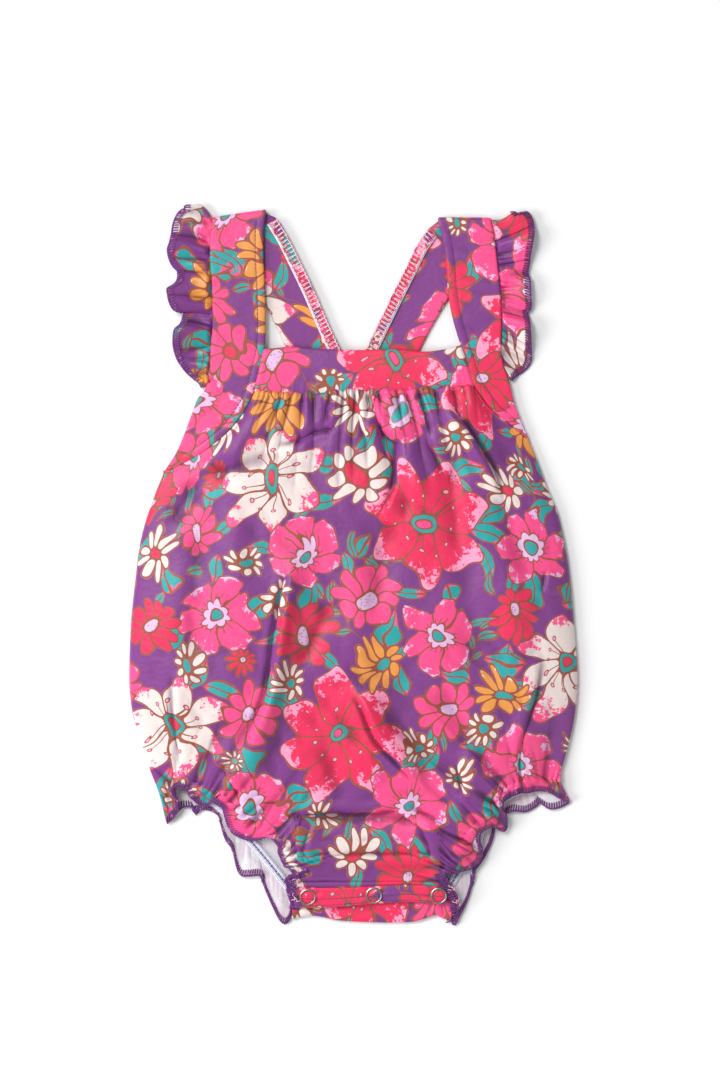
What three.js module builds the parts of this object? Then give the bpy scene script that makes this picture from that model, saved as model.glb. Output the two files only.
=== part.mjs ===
// A baby's bubble romper, laid on its back on a flat surface with the front showing.
// Millimetres, +Z up, +Y towards the shoulders, origin at the middle of the outline on the surface.
// Every cloth piece is a closed wall: a grid of middle points, moved out by half the cloth each way.

import * as THREE from 'three';

// Driving sizes
const JERSEY = 1.2; // wall of one layer of body cloth
const DOUBLED = 1.8; // wall of the straps, which are sewn double
const BAND = 2.0; // wall of the bib band, with its seam allowances inside
const SNAP_TAPE = 1.6; // wall of the two crotch plackets
const ELASTIC_WALL = 1.0;
const ELASTIC_WIDTH = 5.0;
const SEAM_GAP = 0.3; // between pieces that are sewn together
const SERGED_WIDTH = 5.2; // seam allowance along the neck edge of the back straps
const SERGED_WALL = 1.0;
const RING_OUTER = 4.8; // radius of the snap rings
const RING_INNER = 3.7;
const RING_HEIGHT = 0.9;
const FASTENER_RADIUS = 4.4;
const FASTENER_HEIGHT = 1.6;

// Heights of the middle of each wall above the surface
const FLOOR_JERSEY = JERSEY / 2;
const FLOOR_STRAP = DOUBLED / 2;
const SHOULDER_STRAP = 3.9;
const SEAM_ENDS = 2.7; // armhole seam at the underarm
const SEAM_MIDDLE = 5.4; // bib seam at its middle
const BIB_TOP = 4.5;
const BIB_ROUNDING = 0.5; // swell of the band between its edges
const SIDE_SEAM = 2.1;
const FLAP_HEIGHT = 3.2; // turned-up leg of the back placket
const PLACKET_HEIGHT = 7.0;

const COLOURS = {
  print: 0x7a3f92,
  elastic: 0xcfcfe6,
  snap: 0xb9b7ae,
};

// Share of the front's columns at the armhole seams and bib (top) and at the legs and placket (bottom)
const COLUMNS = { arm: 12, bib: 64, leg: 36, placket: 16 };
const FRONT_COLUMNS = 2 * COLUMNS.arm + COLUMNS.bib;

// Outlines seen from above: [across, up]
const SEAMS = {
  armLeft: [[-110.7, 53.1], [-95.5, 60.4], [-80.5, 70.3], [-71.5, 78.2], [-64.5, 87.0], [-57.1, 100.4]],
  bib: [[-57.1, 100.4], [-41.2, 98.6], [-24.8, 98.3], [-2.0, 99.8], [24.8, 100.4], [41.2, 101.0],
    [58.1, 102.4], [69.5, 103.3]],
  armRight: [[69.5, 103.3], [79.4, 90.4], [89.4, 82.6], [101.7, 72.3]],
  bibTop: [[-51.2, 125.6], [-35.9, 126.7], [-19.0, 125.5], [7.3, 124.9], [24.8, 125.5], [40.0, 124.0],
    [52.3, 125.2], [61.6, 127.5]],
  placketTop: [[-35.3, -187.4], [-13.7, -187.8], [11.4, -186.9], [33.0, -186.0], [55.0, -187.4]],
  placketBottom: [[-34.0, -199.8], [-13.7, -199.5], [11.4, -197.5], [33.0, -196.4], [54.0, -198.0]],
};

const SIDES = {
  left: [[-110.7, 52.8], [-116.5, 37.6], [-121.2, 23.6], [-124.4, 9.6], [-126.7, -9.1], [-129.1, -32.5],
    [-130.2, -58.8], [-129.9, -74.5], [-127.9, -88.5], [-123.5, -102.6], [-119.4, -116.6], [-114.2, -130.6],
    [-112.1, -137.6]],
  right: [[101.9, 72.1], [107.2, 58.6], [112.4, 44.6], [118.3, 30.6], [121.8, 16.6], [124.4, 2.6],
    [126.4, -13.8], [127.9, -32.5], [129.6, -53.5], [130.2, -68.7], [129.4, -81.5], [127.3, -95.5],
    [123.8, -109.6], [120.8, -121.0], [120.6, -127.1]],
};

// Lines of elastic round the legs: [across, up, height]
const FRONT_ELASTIC = {
  left: [[-112.1, -137.6, 2.1], [-102.5, -124.6, 4.4], [-89.6, -127.2, 7.0], [-79.1, -131.8, 8.2],
    [-67.5, -141.1, 8.6], [-56.9, -150.4, 8.6], [-45.8, -157.4, 8.4], [-37.1, -166.8, 8.0],
    [-32.0, -177.3, 7.4], [-31.6, -184.6, 7.0]],
  placket: [[-31.6, -184.6, 7.0], [11.4, -184.4, 7.0], [50.5, -184.4, 7.0]],
  right: [[50.5, -184.4, 7.0], [53.0, -176.1, 7.4], [60.4, -166.8, 8.0], [65.7, -156.9, 8.4],
    [71.0, -150.4, 8.6], [78.5, -144.0, 8.6], [83.5, -136.0, 8.2], [90.2, -128.8, 7.4],
    [103.1, -124.9, 5.6], [113.6, -125.2, 3.4], [120.6, -127.1, 2.1]],
};

const BACK_ELASTIC = {
  left: [[-112.1, -137.6], [-98.4, -133.5], [-85.0, -138.3], [-75.0, -147.1], [-66.3, -157.6],
    [-53.4, -172.8], [-38.8, -190.9], [-35.5, -195.0]],
  hem: [[-35.5, -195.0], [10.5, -195.0], [56.6, -195.0]],
  right: [[56.6, -195.0], [59.0, -188.0], [66.1, -176.3], [74.5, -162.9], [79.1, -148.1],
    [88.5, -138.8], [103.1, -131.8], [113.6, -129.0], [120.6, -127.1]],
};

// Free edges of the leg ruffles: [across, up, height]
const FRONT_EDGE = {
  left: [[-109.0, -150.7, 2.4], [-105.8, -147.9, 3.0], [-102.5, -142.7, 5.0], [-102.8, -137.0, 7.6],
    [-106.0, -132.2, 8.6], [-105.4, -129.4, 8.8], [-103.4, -128.4, 8.8], [-100.2, -129.0, 8.0],
    [-96.9, -130.6, 7.0], [-94.6, -134.1, 5.6], [-91.7, -137.8, 4.4], [-88.0, -139.9, 4.2],
    [-84.4, -140.0, 5.0], [-83.1, -138.2, 6.4], [-81.4, -135.4, 8.4], [-79.4, -136.6, 8.4],
    [-76.0, -140.5, 6.8], [-74.2, -146.8, 5.4], [-72.3, -152.7, 4.6], [-68.6, -156.9, 4.4],
    [-61.4, -160.0, 4.6], [-57.0, -159.7, 6.0], [-52.5, -158.0, 7.8], [-48.6, -157.8, 8.8],
    [-45.3, -160.4, 8.4], [-43.0, -164.4, 7.0], [-42.2, -169.5, 5.4], [-39.7, -174.6, 5.4],
    [-36.6, -175.6, 6.6], [-35.0, -179.0, 6.6], [-35.2, -184.3, 6.6], [-35.3, -187.1, 7.0]],
  right: [[55.0, -187.1, 7.0], [53.8, -185.2, 7.0], [53.4, -182.2, 7.0], [56.1, -179.6, 6.4],
    [63.4, -177.9, 5.2], [70.1, -175.1, 4.6], [74.0, -170.6, 4.6], [74.5, -165.0, 6.0],
    [72.9, -160.5, 7.8], [73.2, -156.5, 8.2], [75.9, -153.7, 7.8], [81.2, -151.8, 6.6],
    [84.0, -153.3, 5.0], [87.4, -155.0, 3.8], [89.1, -152.7, 3.8], [88.5, -148.3, 5.0],
    [86.3, -142.7, 7.2], [86.6, -138.4, 8.4], [89.8, -135.2, 8.4], [94.1, -132.8, 7.6],
    [100.8, -132.0, 6.0], [109.2, -131.2, 5.0], [114.8, -132.6, 4.2], [120.4, -136.0, 3.2],
    [126.0, -138.2, 2.4]],
};

const BACK_EDGE = {
  left: [[-109.0, -150.7, 0.7], [-104.8, -146.4, 0.8], [-100.2, -141.6, 1.2], [-95.8, -140.8, 1.6],
    [-93.5, -141.9, 1.6], [-92.0, -145.6, 1.2], [-89.6, -142.8, 0.9], [-83.8, -143.1, 0.8],
    [-78.2, -146.9, 1.0], [-76.9, -152.8, 1.8], [-74.3, -160.5, 2.4], [-71.0, -165.0, 1.6],
    [-69.8, -169.0, 0.8], [-67.6, -177.3, 0.8], [-65.3, -181.0, 1.6], [-61.6, -181.3, 2.6],
    [-53.6, -181.2, 2.4], [-52.5, -186.2, 1.0], [-49.2, -194.1, 0.8], [-45.3, -202.4, 1.4],
    [-42.5, -207.5, 1.8], [-40.0, -209.2, 1.4], [-37.2, -206.5, 0.9], [-36.2, -199.2, 0.6]],
  right: [[57.2, -199.2, 0.6], [57.4, -206.5, 0.9], [58.2, -209.8, 1.4], [59.5, -209.7, 1.6],
    [61.1, -205.8, 1.4], [63.9, -200.8, 1.0], [66.8, -194.1, 0.8], [69.0, -186.8, 1.2],
    [70.1, -180.1, 2.0], [71.4, -177.3, 2.2], [75.1, -172.3, 1.6], [79.0, -165.0, 0.9],
    [81.2, -159.4, 0.8], [82.9, -152.7, 1.2], [86.6, -146.8, 1.6], [93.0, -143.3, 2.4],
    [97.5, -143.7, 1.8], [100.8, -143.8, 1.2], [106.4, -140.8, 0.8], [108.6, -138.4, 0.8],
    [110.2, -139.4, 1.2], [113.6, -141.8, 2.0], [117.6, -142.1, 1.8], [123.2, -140.1, 1.0],
    [126.0, -138.2, 0.7]],
};

const BACK_TOP = [[-110.7, 52.8], [-89.6, 59.8], [-66.3, 70.6], [-45.8, 83.1], [-31.2, 93.0], [-26.5, 96.6],
  [0.0, 96.8], [26.5, 96.6], [31.2, 93.0], [50.5, 83.5], [73.9, 76.3], [101.9, 72.1]];
const BACK_HEM = [[-36.2, -199.2], [-13.7, -198.9], [11.7, -198.9], [35.9, -198.9], [57.2, -199.2]];
const CROTCH_FOLD = [[-33.6, -206.8], [-25.4, -205.0], [-18.4, -205.6], [-10.8, -207.4], [-0.9, -208.3],
  [10.2, -208.8], [24.2, -209.0], [35.9, -208.3], [43.5, -205.9], [48.2, -204.5], [51.1, -205.9],
  [54.6, -208.0]];
const SNAP_CENTRES = [[-26.8, -193.4], [11.7, -192.4], [49.4, -192.6]];

// Strap sections from the underarm to the shoulder fold: outer and inner edge [across, up, height]
const STRAP_LEFT = [
  { outer: [-109.5, 55.4, 2.6], inner: [-108.4, 54.6, 2.7] },
  { outer: [-103.1, 65.6, 2.6], inner: [-91.4, 63.1, 3.4] },
  { outer: [-97.2, 79.7, 2.8], inner: [-76.2, 74.4, 3.9] },
  { outer: [-94.0, 88.4, 3.0], inner: [-67.2, 84.0, 4.2] },
  { outer: [-90.8, 96.6, 3.2], inner: [-61.1, 93.6, 4.4] },
  { outer: [-86.4, 102.4, 3.3], inner: [-57.6, 101.8, 4.5] },
  { outer: [-84.4, 111.8, 3.4], inner: [-54.4, 114.1, 4.4] },
  { outer: [-83.2, 127.5, 3.5], inner: [-51.6, 126.4, 4.1] },
  { outer: [-82.3, 142.7, 3.6], inner: [-51.1, 142.7, 3.8] },
  { outer: [-82.6, 159.7, 3.8], inner: [-51.3, 157.9, 3.8] },
  { outer: [-83.8, 180.1, 3.9], inner: [-52.3, 177.8, 3.9] },
  { outer: [-83.5, 190.6, 3.9], inner: [-52.3, 194.1, 3.9] },
  { outer: [-82.1, 200.2, 3.9], inner: [-50.9, 204.8, 3.9] },
];
const STRAP_RIGHT = [
  { outer: [101.4, 74.6, 2.6], inner: [100.4, 74.0, 2.7] },
  { outer: [97.8, 82.6, 2.7], inner: [90.6, 82.3, 3.4] },
  { outer: [94.0, 93.1, 3.0], inner: [81.2, 89.6, 3.9] },
  { outer: [92.3, 99.5, 3.2], inner: [76.0, 96.0, 4.2] },
  { outer: [90.2, 108.3, 3.3], inner: [70.2, 104.2, 4.5] },
  { outer: [87.5, 115.9, 3.4], inner: [66.0, 115.9, 4.4] },
  { outer: [86.1, 125.2, 3.5], inner: [62.4, 127.5, 4.1] },
  { outer: [86.4, 142.7, 3.6], inner: [57.8, 143.3, 3.8] },
  { outer: [85.6, 160.8, 3.8], inner: [55.2, 157.3, 3.8] },
  { outer: [83.8, 176.6, 3.9], inner: [53.7, 176.6, 3.9] },
  { outer: [82.1, 191.5, 3.9], inner: [51.4, 191.8, 3.9] },
  { outer: [80.3, 199.9, 3.9], inner: [49.3, 200.2, 3.9] },
];

// Strap sections from the shoulder fold down the back to the middle seam: [across, up]
const BACK_STRAP_LEFT = [
  { outer: [-76.8, 193.6], inner: [-44.6, 201.6] },
  { outer: [-68.6, 182.4], inner: [-38.7, 192.0] },
  { outer: [-60.4, 169.0], inner: [-32.4, 179.5] },
  { outer: [-51.5, 152.4], inner: [-23.7, 161.4] },
  { outer: [-39.7, 127.3], inner: [-12.0, 134.6] },
  { outer: [-31.8, 111.2], inner: [-0.7, 111.2] },
  { outer: [-25.4, 97.6], inner: [-0.7, 97.6] },
];
const BACK_STRAP_RIGHT = [
  { outer: [75.6, 190.4], inner: [43.0, 195.0] },
  { outer: [69.2, 177.8], inner: [37.1, 186.5] },
  { outer: [62.2, 166.1], inner: [30.1, 172.4] },
  { outer: [55.2, 154.6], inner: [23.7, 159.7] },
  { outer: [45.8, 138.6], inner: [14.9, 141.6] },
  { outer: [38.8, 125.2], inner: [7.3, 125.8] },
  { outer: [31.8, 111.2], inner: [0.7, 111.2] },
  { outer: [25.4, 97.6], inner: [0.7, 97.6] },
];

// Free edge of the shoulder ruffles from the bottom of the strap to the fold: [across, up, height]
const RUFFLE_LEFT = [[-88.2, 103.2, 2.8], [-90.6, 106.6, 2.4], [-96.1, 111.1, 1.6], [-100.5, 116.4, 1.4],
  [-103.2, 121.4, 2.2], [-104.5, 126.7, 4.2], [-104.5, 132.0, 6.4], [-103.6, 136.6, 7.4],
  [-100.5, 139.7, 6.6], [-99.0, 145.0, 3.6], [-98.4, 149.0, 2.4], [-100.6, 148.4, 3.4],
  [-103.4, 147.6, 4.6], [-105.9, 150.5, 6.0], [-107.6, 156.3, 7.6], [-107.9, 160.6, 8.2],
  [-104.9, 162.6, 7.6], [-102.5, 165.5, 5.8], [-102.3, 171.1, 3.0], [-104.9, 173.7, 2.8],
  [-107.0, 177.8, 4.2], [-107.9, 183.1, 6.4], [-106.8, 186.7, 6.6], [-105.6, 192.5, 5.0],
  [-104.7, 198.7, 4.0], [-102.7, 203.4, 4.2], [-100.5, 206.0, 4.8], [-97.8, 207.2, 5.0]];
const RUFFLE_RIGHT = [[92.0, 107.6, 2.8], [95.0, 110.2, 2.2], [98.9, 112.9, 1.6], [102.0, 116.1, 1.8],
  [103.2, 119.2, 2.6], [103.2, 125.1, 4.4], [102.8, 130.9, 5.8], [102.6, 136.8, 6.0],
  [102.0, 143.8, 3.8], [101.3, 146.9, 2.8], [103.0, 149.3, 4.2], [103.0, 154.4, 6.4],
  [102.6, 159.1, 7.2], [102.4, 166.1, 5.0], [101.4, 169.6, 3.0], [102.0, 174.7, 3.2],
  [102.8, 180.6, 5.6], [103.6, 186.0, 7.2], [104.5, 191.5, 6.4], [104.8, 197.0, 4.6],
  [103.6, 201.7, 4.2], [101.3, 205.0, 4.6], [98.0, 205.0, 4.8], [94.6, 203.4, 4.8]];
// The half of each ruffle that is turned under: free edge from the fold down [across, up]
const UNDER_LEFT = [[-97.4, 206.4], [-99.4, 198.0], [-99.0, 188.0], [-95.0, 178.0], [-88.0, 168.0],
  [-78.0, 160.0]];
const UNDER_RIGHT = [[94.4, 201.6], [97.0, 195.0], [97.4, 186.0], [94.0, 177.0], [87.0, 168.0],
  [77.0, 160.4]];
const CREST_LEFT = 4.5;
const CREST_RIGHT = -2.0;

// Height of the front over the surface, down the garment: share of the way down, side, middle
const FRONT_PROFILE = [
  { down: 0.0, side: 2.7, middle: 5.4 },
  { down: 0.08, side: 2.5, middle: 9.0 },
  { down: 0.25, side: 2.1, middle: 12.0 },
  { down: 0.5, side: 2.1, middle: 13.6 },
  { down: 0.72, side: 2.1, middle: 13.0 },
  { down: 0.88, side: 2.1, middle: 10.6 },
  { down: 1.0, side: 2.1, middle: 7.0 },
];

// The front's largest folds: from and to [across, up], half width and rise (a trough is negative)
const FOLDS = [
  { from: [-36, 4], to: [-47, -70], half: 8, rise: 3.2 },
  { from: [-47, -66], to: [-62, -128], half: 7, rise: 2.8 },
  { from: [-2, -72], to: [36, -130], half: 8, rise: 2.4 },
  { from: [18, 96], to: [30, 28], half: 5, rise: -2.4 },
  { from: [25, 94], to: [40, 36], half: 6, rise: 2.2 },
  { from: [-34, 70], to: [-6, 78], half: 5, rise: -2.2 },
  { from: [-50, 92], to: [-80, 56], half: 7, rise: 2.0 },
  { from: [54, 94], to: [78, 56], half: 7, rise: 2.2 },
  { from: [-37, -146], to: [45, -148], half: 5, rise: -1.8 },
  { from: [-30, -165], to: [50, -170], half: 5, rise: 1.4 },
  { from: [88, 4], to: [95, -78], half: 10, rise: 1.8 },
  { from: [-95, 4], to: [-106, -88], half: 10, rise: 1.6 },
  { from: [4, 16], to: [1, -54], half: 9, rise: 1.6 },
  { from: [67, -106], to: [73, -142], half: 6, rise: 1.8 },
  { from: [-69, -98], to: [-75, -134], half: 6, rise: 1.6 },
];

// Gathers under the bib, left to right: width along the seam, how far the ridge runs down, and its rise
const BIB_GATHERS = [
  { width: 8.4, length: 12, rise: 0.6 }, { width: 7.0, length: 20, rise: 1.2 },
  { width: 5.3, length: 26, rise: 1.6 }, { width: 7.0, length: 18, rise: 1.2 },
  { width: 6.4, length: 30, rise: 1.7 }, { width: 9.3, length: 16, rise: 1.0 },
  { width: 7.6, length: 24, rise: 1.5 }, { width: 6.4, length: 34, rise: 1.8 },
  { width: 7.6, length: 20, rise: 1.2 }, { width: 6.4, length: 38, rise: 1.8 },
  { width: 10.5, length: 28, rise: 1.6 }, { width: 5.8, length: 18, rise: 1.3 },
  { width: 7.3, length: 30, rise: 1.7 }, { width: 9.1, length: 22, rise: 1.4 },
  { width: 11.1, length: 26, rise: 1.5 }, { width: 11.4, length: 14, rise: 0.8 },
];
// Gathers along each leg of the front, from the side seam to the placket: width, share of the
// front's length that the ridge runs up, and its rise
const LEG_GATHERS = [
  { width: 10, length: 0.07, rise: 0.9 }, { width: 13, length: 0.12, rise: 1.6 },
  { width: 9, length: 0.08, rise: 1.2 }, { width: 12, length: 0.14, rise: 1.7 },
  { width: 15, length: 0.10, rise: 1.4 }, { width: 9, length: 0.07, rise: 1.1 },
  { width: 13, length: 0.13, rise: 1.6 }, { width: 8, length: 0.06, rise: 1.0 },
  { width: 7, length: 0.05, rise: 0.8 },
];

// Smooth curve through points of any dimension, as a function of the share of its length
function through(points) {
  const knots = [0];
  for (let i = 1; i < points.length; i += 1) {
    const step = points[i].map((value, k) => value - points[i - 1][k]);
    knots.push(knots[i - 1] + Math.hypot(...step));
  }
  const last = points.length - 1;
  const slope = (i, k) => {
    const a = Math.max(i - 1, 0);
    const b = Math.min(i + 1, last);
    return (points[b][k] - points[a][k]) / (knots[b] - knots[a]);
  };
  return (share) => {
    const place = Math.min(Math.max(share, 0), 1) * knots[last];
    let i = 0;
    while (i < last - 1 && knots[i + 1] < place) i += 1;
    const span = knots[i + 1] - knots[i];
    const f = (place - knots[i]) / span;
    const rest = 1 - f;
    return points[i].map((value, k) => value * (1 + 2 * f) * rest * rest
      + points[i + 1][k] * f * f * (3 - 2 * f)
      + slope(i, k) * span * f * rest * rest
      - slope(i + 1, k) * span * f * f * rest);
  };
}

// Curves end to end, each with its number of columns, as one function of the share of the columns
function joined(parts) {
  const total = parts.reduce((sum, part) => sum + part.columns, 0);
  return (share) => {
    let column = share * total;
    let i = 0;
    while (i < parts.length - 1 && column > parts[i].columns) {
      column -= parts[i].columns;
      i += 1;
    }
    return parts[i].curve(column / parts[i].columns);
  };
}

// Points beside a curve, a distance out to its left (positive) or right as it runs, seen from above
function beside(curve, distance) {
  return (share) => {
    const here = curve(share);
    const ahead = curve(Math.min(share + 0.01, 1));
    const behind = curve(Math.max(share - 0.01, 0));
    const run = [ahead[0] - behind[0], ahead[1] - behind[1]];
    const long = Math.hypot(...run);
    return [here[0] - run[1] / long * distance, here[1] + run[0] / long * distance, ...here.slice(2)];
  };
}

const mix = (a, b, f) => a.map((value, k) => value + (b[k] - value) * f);
// Curve whose points keep in step with gathers of uneven widths, each of which gets as many columns
function inStep(curve, gathers) {
  const total = gathers.reduce((sum, gather) => sum + gather.width, 0);
  return (share) => {
    const place = share * gathers.length;
    const whole = Math.min(Math.floor(place), gathers.length - 1);
    const before = gathers.slice(0, whole).reduce((sum, gather) => sum + gather.width, 0);
    return curve((before + (place - whole) * gathers[whole].width) / total);
  };
}

// Rise of the gather at a share of the gathers' length, a distance out from the seam
function gathered(gathers, share, distance, power) {
  const place = share * gathers.length;
  const gather = gathers[Math.min(Math.floor(place), gathers.length - 1)];
  const wave = 0.5 - 0.5 * Math.cos(2 * Math.PI * place);
  return gather.rise * wave * Math.exp(-((distance / gather.length) ** power));
}

const ramp = (f) => { const t = Math.min(Math.max(f, 0), 1); return t * t * (3 - 2 * t); };
const shares = (count) => Array.from({ length: count + 1 }, (_, i) => i / count);
const shifted = (points, dx, dy) => points.map(([x, y, ...rest]) => [x + dx, y + dy, ...rest]);

// Point of the patch that four edge curves span, across and down from 0 to 1
function spanned(top, bottom, left, right, across, down) {
  const t = top(across);
  const b = bottom(across);
  const l = left(down);
  const r = right(down);
  const corners = [top(0), top(1), bottom(0), bottom(1)];
  return [0, 1].map((k) => (1 - down) * t[k] + down * b[k] + (1 - across) * l[k] + across * r[k]
    - (1 - across) * (1 - down) * corners[0][k] - across * (1 - down) * corners[1][k]
    - (1 - across) * down * corners[2][k] - across * down * corners[3][k]);
}

// Value of a column of a table at a place between its rows
function read(table, key, name, place) {
  let i = 0;
  while (i < table.length - 2 && table[i + 1][key] < place) i += 1;
  const f = (place - table[i][key]) / (table[i + 1][key] - table[i][key]);
  return table[i][name] + (table[i + 1][name] - table[i][name]) * ramp(f);
}

// Unit normals of a grid of points. On the rim the wall is cut straight down.
function normals(grid) {
  const rows = grid.length - 1;
  const columns = grid[0].length - 1;
  return grid.map((row, j) => row.map((_, i) => {
    if (i === 0 || j === 0 || i === columns || j === rows) return [0, 0, 1];
    const across = new THREE.Vector3(...grid[j][i + 1]).sub(new THREE.Vector3(...grid[j][i - 1]));
    const down = new THREE.Vector3(...grid[j + 1][i]).sub(new THREE.Vector3(...grid[j - 1][i]));
    const normal = down.cross(across).normalize();
    return normal.z < 0 ? normal.negate().toArray() : normal.toArray();
  }));
}

const moved = (grid, directions, distance) => grid.map((row, j) => row.map((point, i) => {
  const far = typeof distance === 'function' ? distance(j, i) : distance;
  return point.map((value, k) => value + directions[j][i][k] * far);
}));

// Closed geometry from an outer and an inner grid, whose rims are joined all round.
// The inner grid may be coarser than the outer one.
function wall(outer, inner) {
  const positions = [];
  const index = [];
  const indexed = (grid) => grid.map((row) => row.map((point) => positions.push(...point) / 3 - 1));
  const faces = (grid, flip) => {
    for (let j = 0; j < grid.length - 1; j += 1) {
      for (let i = 0; i < grid[0].length - 1; i += 1) {
        const [a, b, c, d] = [grid[j][i], grid[j][i + 1], grid[j + 1][i + 1], grid[j + 1][i]];
        if (flip) index.push(a, b, c, a, c, d);
        else index.push(a, c, b, a, d, c);
      }
    }
  };
  const rim = (grid) => [
    grid[0],
    grid.map((row) => row[row.length - 1]),
    [...grid[grid.length - 1]].reverse(),
    grid.map((row) => row[0]).reverse(),
  ];
  const front = indexed(outer);
  const back = indexed(inner);
  faces(front, false);
  faces(back, true);
  const backRims = rim(back);
  rim(front).forEach((side, s) => {
    const other = backRims[s];
    let i = 0;
    let j = 0;
    while (i < side.length - 1 || j < other.length - 1) {
      const nextSide = (i + 1) / (side.length - 1);
      const nextOther = (j + 1) / (other.length - 1);
      if (nextSide <= nextOther) {
        index.push(side[i], side[i + 1], other[j]);
        i += 1;
      } else {
        index.push(side[i], other[j + 1], other[j]);
        j += 1;
      }
    }
  });
  const geometry = new THREE.BufferGeometry();
  geometry.setAttribute('position', new THREE.Float32BufferAttribute(positions, 3));
  geometry.setIndex(index);
  if (volume(geometry) < 0) {
    for (let i = 0; i < index.length; i += 3) [index[i], index[i + 1]] = [index[i + 1], index[i]];
    geometry.setIndex(index);
  }
  geometry.computeVertexNormals();
  return geometry;
}

function volume(geometry) {
  const place = geometry.getAttribute('position');
  const corner = (i) => new THREE.Vector3().fromBufferAttribute(place, geometry.index.getX(i));
  let sum = 0;
  for (let i = 0; i < geometry.index.count; i += 3) {
    sum += corner(i).dot(corner(i + 1).cross(corner(i + 2))) / 6;
  }
  return sum;
}

// Wall of even thickness on both sides of a grid of middle points
function sheet(grid, thickness) {
  const directions = normals(grid);
  return wall(moved(grid, directions, thickness / 2), moved(grid, directions, -thickness / 2));
}

const group = new THREE.Group();

function add(name, geometry, colour, roughness = 0.75, metalness = 0) {
  const mesh = new THREE.Mesh(geometry, new THREE.MeshStandardMaterial({
    color: colour, roughness, metalness, side: THREE.FrontSide,
  }));
  mesh.name = name;
  group.add(mesh);
  return mesh;
}

// Height of the seam between the front and the bib and straps, by the share of the front's columns
const seamHeight = (share) => SEAM_ENDS + (SEAM_MIDDLE - SEAM_ENDS) * Math.sqrt(Math.sin(Math.PI * share));

// Height that the folds add at a place on the front
function foldHeight(x, y) {
  return FOLDS.reduce((sum, { from, to, half, rise }) => {
    const run = [to[0] - from[0], to[1] - from[1]];
    const long = Math.hypot(...run);
    const way = ((x - from[0]) * run[0] + (y - from[1]) * run[1]) / long;
    const off = ((x - from[0]) * run[1] - (y - from[1]) * run[0]) / long;
    const taper = ramp((way + half) / (3 * half)) * ramp((long + half - way) / (3 * half));
    return sum + rise * Math.exp(-((off / half) ** 2)) * taper;
  }, 0);
}

function front() {
  const top = joined([
    { curve: through(shifted(SEAMS.armLeft, SEAM_GAP, -SEAM_GAP)), columns: COLUMNS.arm },
    { curve: inStep(through(shifted(SEAMS.bib, 0, -SEAM_GAP)), BIB_GATHERS), columns: COLUMNS.bib },
    { curve: through(shifted(SEAMS.armRight, -SEAM_GAP, -SEAM_GAP)), columns: COLUMNS.arm },
  ]);
  const placketSeam = SEAMS.placketTop.map(([x, y]) => [x, y + SEAM_GAP, PLACKET_HEIGHT]);
  const fromPlacket = [...LEG_GATHERS].reverse();
  const hem = (leftLeg, middle, rightLeg) => joined([
    { curve: inStep(through(leftLeg), LEG_GATHERS), columns: COLUMNS.leg },
    { curve: through(middle), columns: COLUMNS.placket },
    { curve: inStep(through(rightLeg), fromPlacket), columns: COLUMNS.leg },
  ]);
  const legs = hem(FRONT_ELASTIC.left, FRONT_ELASTIC.placket, FRONT_ELASTIC.right);
  const edge = hem(FRONT_EDGE.left, placketSeam, FRONT_EDGE.right);
  const left = through(SIDES.left);
  const right = through(SIDES.right);
  // Shares of the way down the body, closer near the seams, and out across the ruffle
  const bodyRows = [0, 0.015, 0.04, 0.08, 0.13, 0.19, 0.26, 0.34, 0.42, 0.5, 0.58, 0.66, 0.74, 0.81, 0.87,
    0.92, 0.96, 0.985, 1];
  const ruffleRows = [0.25, 0.5, 0.75, 1];

  const base = bodyRows.map((down) => shares(FRONT_COLUMNS).map((across) => {
    const [x, y] = spanned(top, legs, left, right, across, down);
    const round = (1 - Math.abs(2 * across - 1) ** 3) ** 0.5;
    const side = read(FRONT_PROFILE, 'down', 'side', down);
    const middle = read(FRONT_PROFILE, 'down', 'middle', down);
    const arch = (low, high) => low + (high - low) * round;
    const toSeam = (1 - ramp(down / 0.12)) * (seamHeight(across) - arch(SEAM_ENDS, SEAM_MIDDLE));
    const toLegs = ramp((down - 0.6) / 0.4) * (legs(across)[2] - arch(SIDE_SEAM, PLACKET_HEIGHT));
    const inside = ramp(down / 0.06) * ramp((1 - down) / 0.06) * ramp(across / 0.05) * ramp((1 - across) / 0.05);
    return [x, y, arch(side, middle) + toSeam + toLegs + foldHeight(x, y) * inside];
  }));
  ruffleRows.forEach((out) => base.push(shares(FRONT_COLUMNS).map((across) => {
    const start = legs(across);
    const end = edge(across);
    const point = mix(start, end, out);
    point[2] += 0.9 * Math.sin(Math.PI * out) * Math.min(1, (point[2] - 2) / 3);
    return point;
  })));

  // Gathers are raised in the outer surface over a plain inside
  const outside = (j, i) => {
    let thickness = JERSEY / 2;
    const alongBib = (i - COLUMNS.arm) / COLUMNS.bib;
    if (alongBib > 0 && alongBib < 1) {
      const far = Math.hypot(base[j][i][0] - base[0][i][0], base[j][i][1] - base[0][i][1]);
      thickness += gathered(BIB_GATHERS, alongBib, far, 1.6);
    }
    const alongLeg = Math.min(i, FRONT_COLUMNS - i) / COLUMNS.leg;
    if (alongLeg < 1) {
      const up = j < bodyRows.length ? 1 - bodyRows[j] : 0;
      const towardsEdge = Math.max(0, j - bodyRows.length + 1) / ruffleRows.length;
      thickness += gathered(LEG_GATHERS, alongLeg, up, 1.5) * (1 - ramp(towardsEdge));
    }
    return thickness;
  };
  const directions = normals(base);
  const everySecond = (list) => list.filter((_, i) => i % 2 === 0);
  const plain = everySecond(base).map(everySecond);
  const plainDirections = everySecond(directions).map(everySecond);
  return wall(moved(base, directions, outside), moved(plain, plainDirections, -JERSEY / 2));
}

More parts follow.
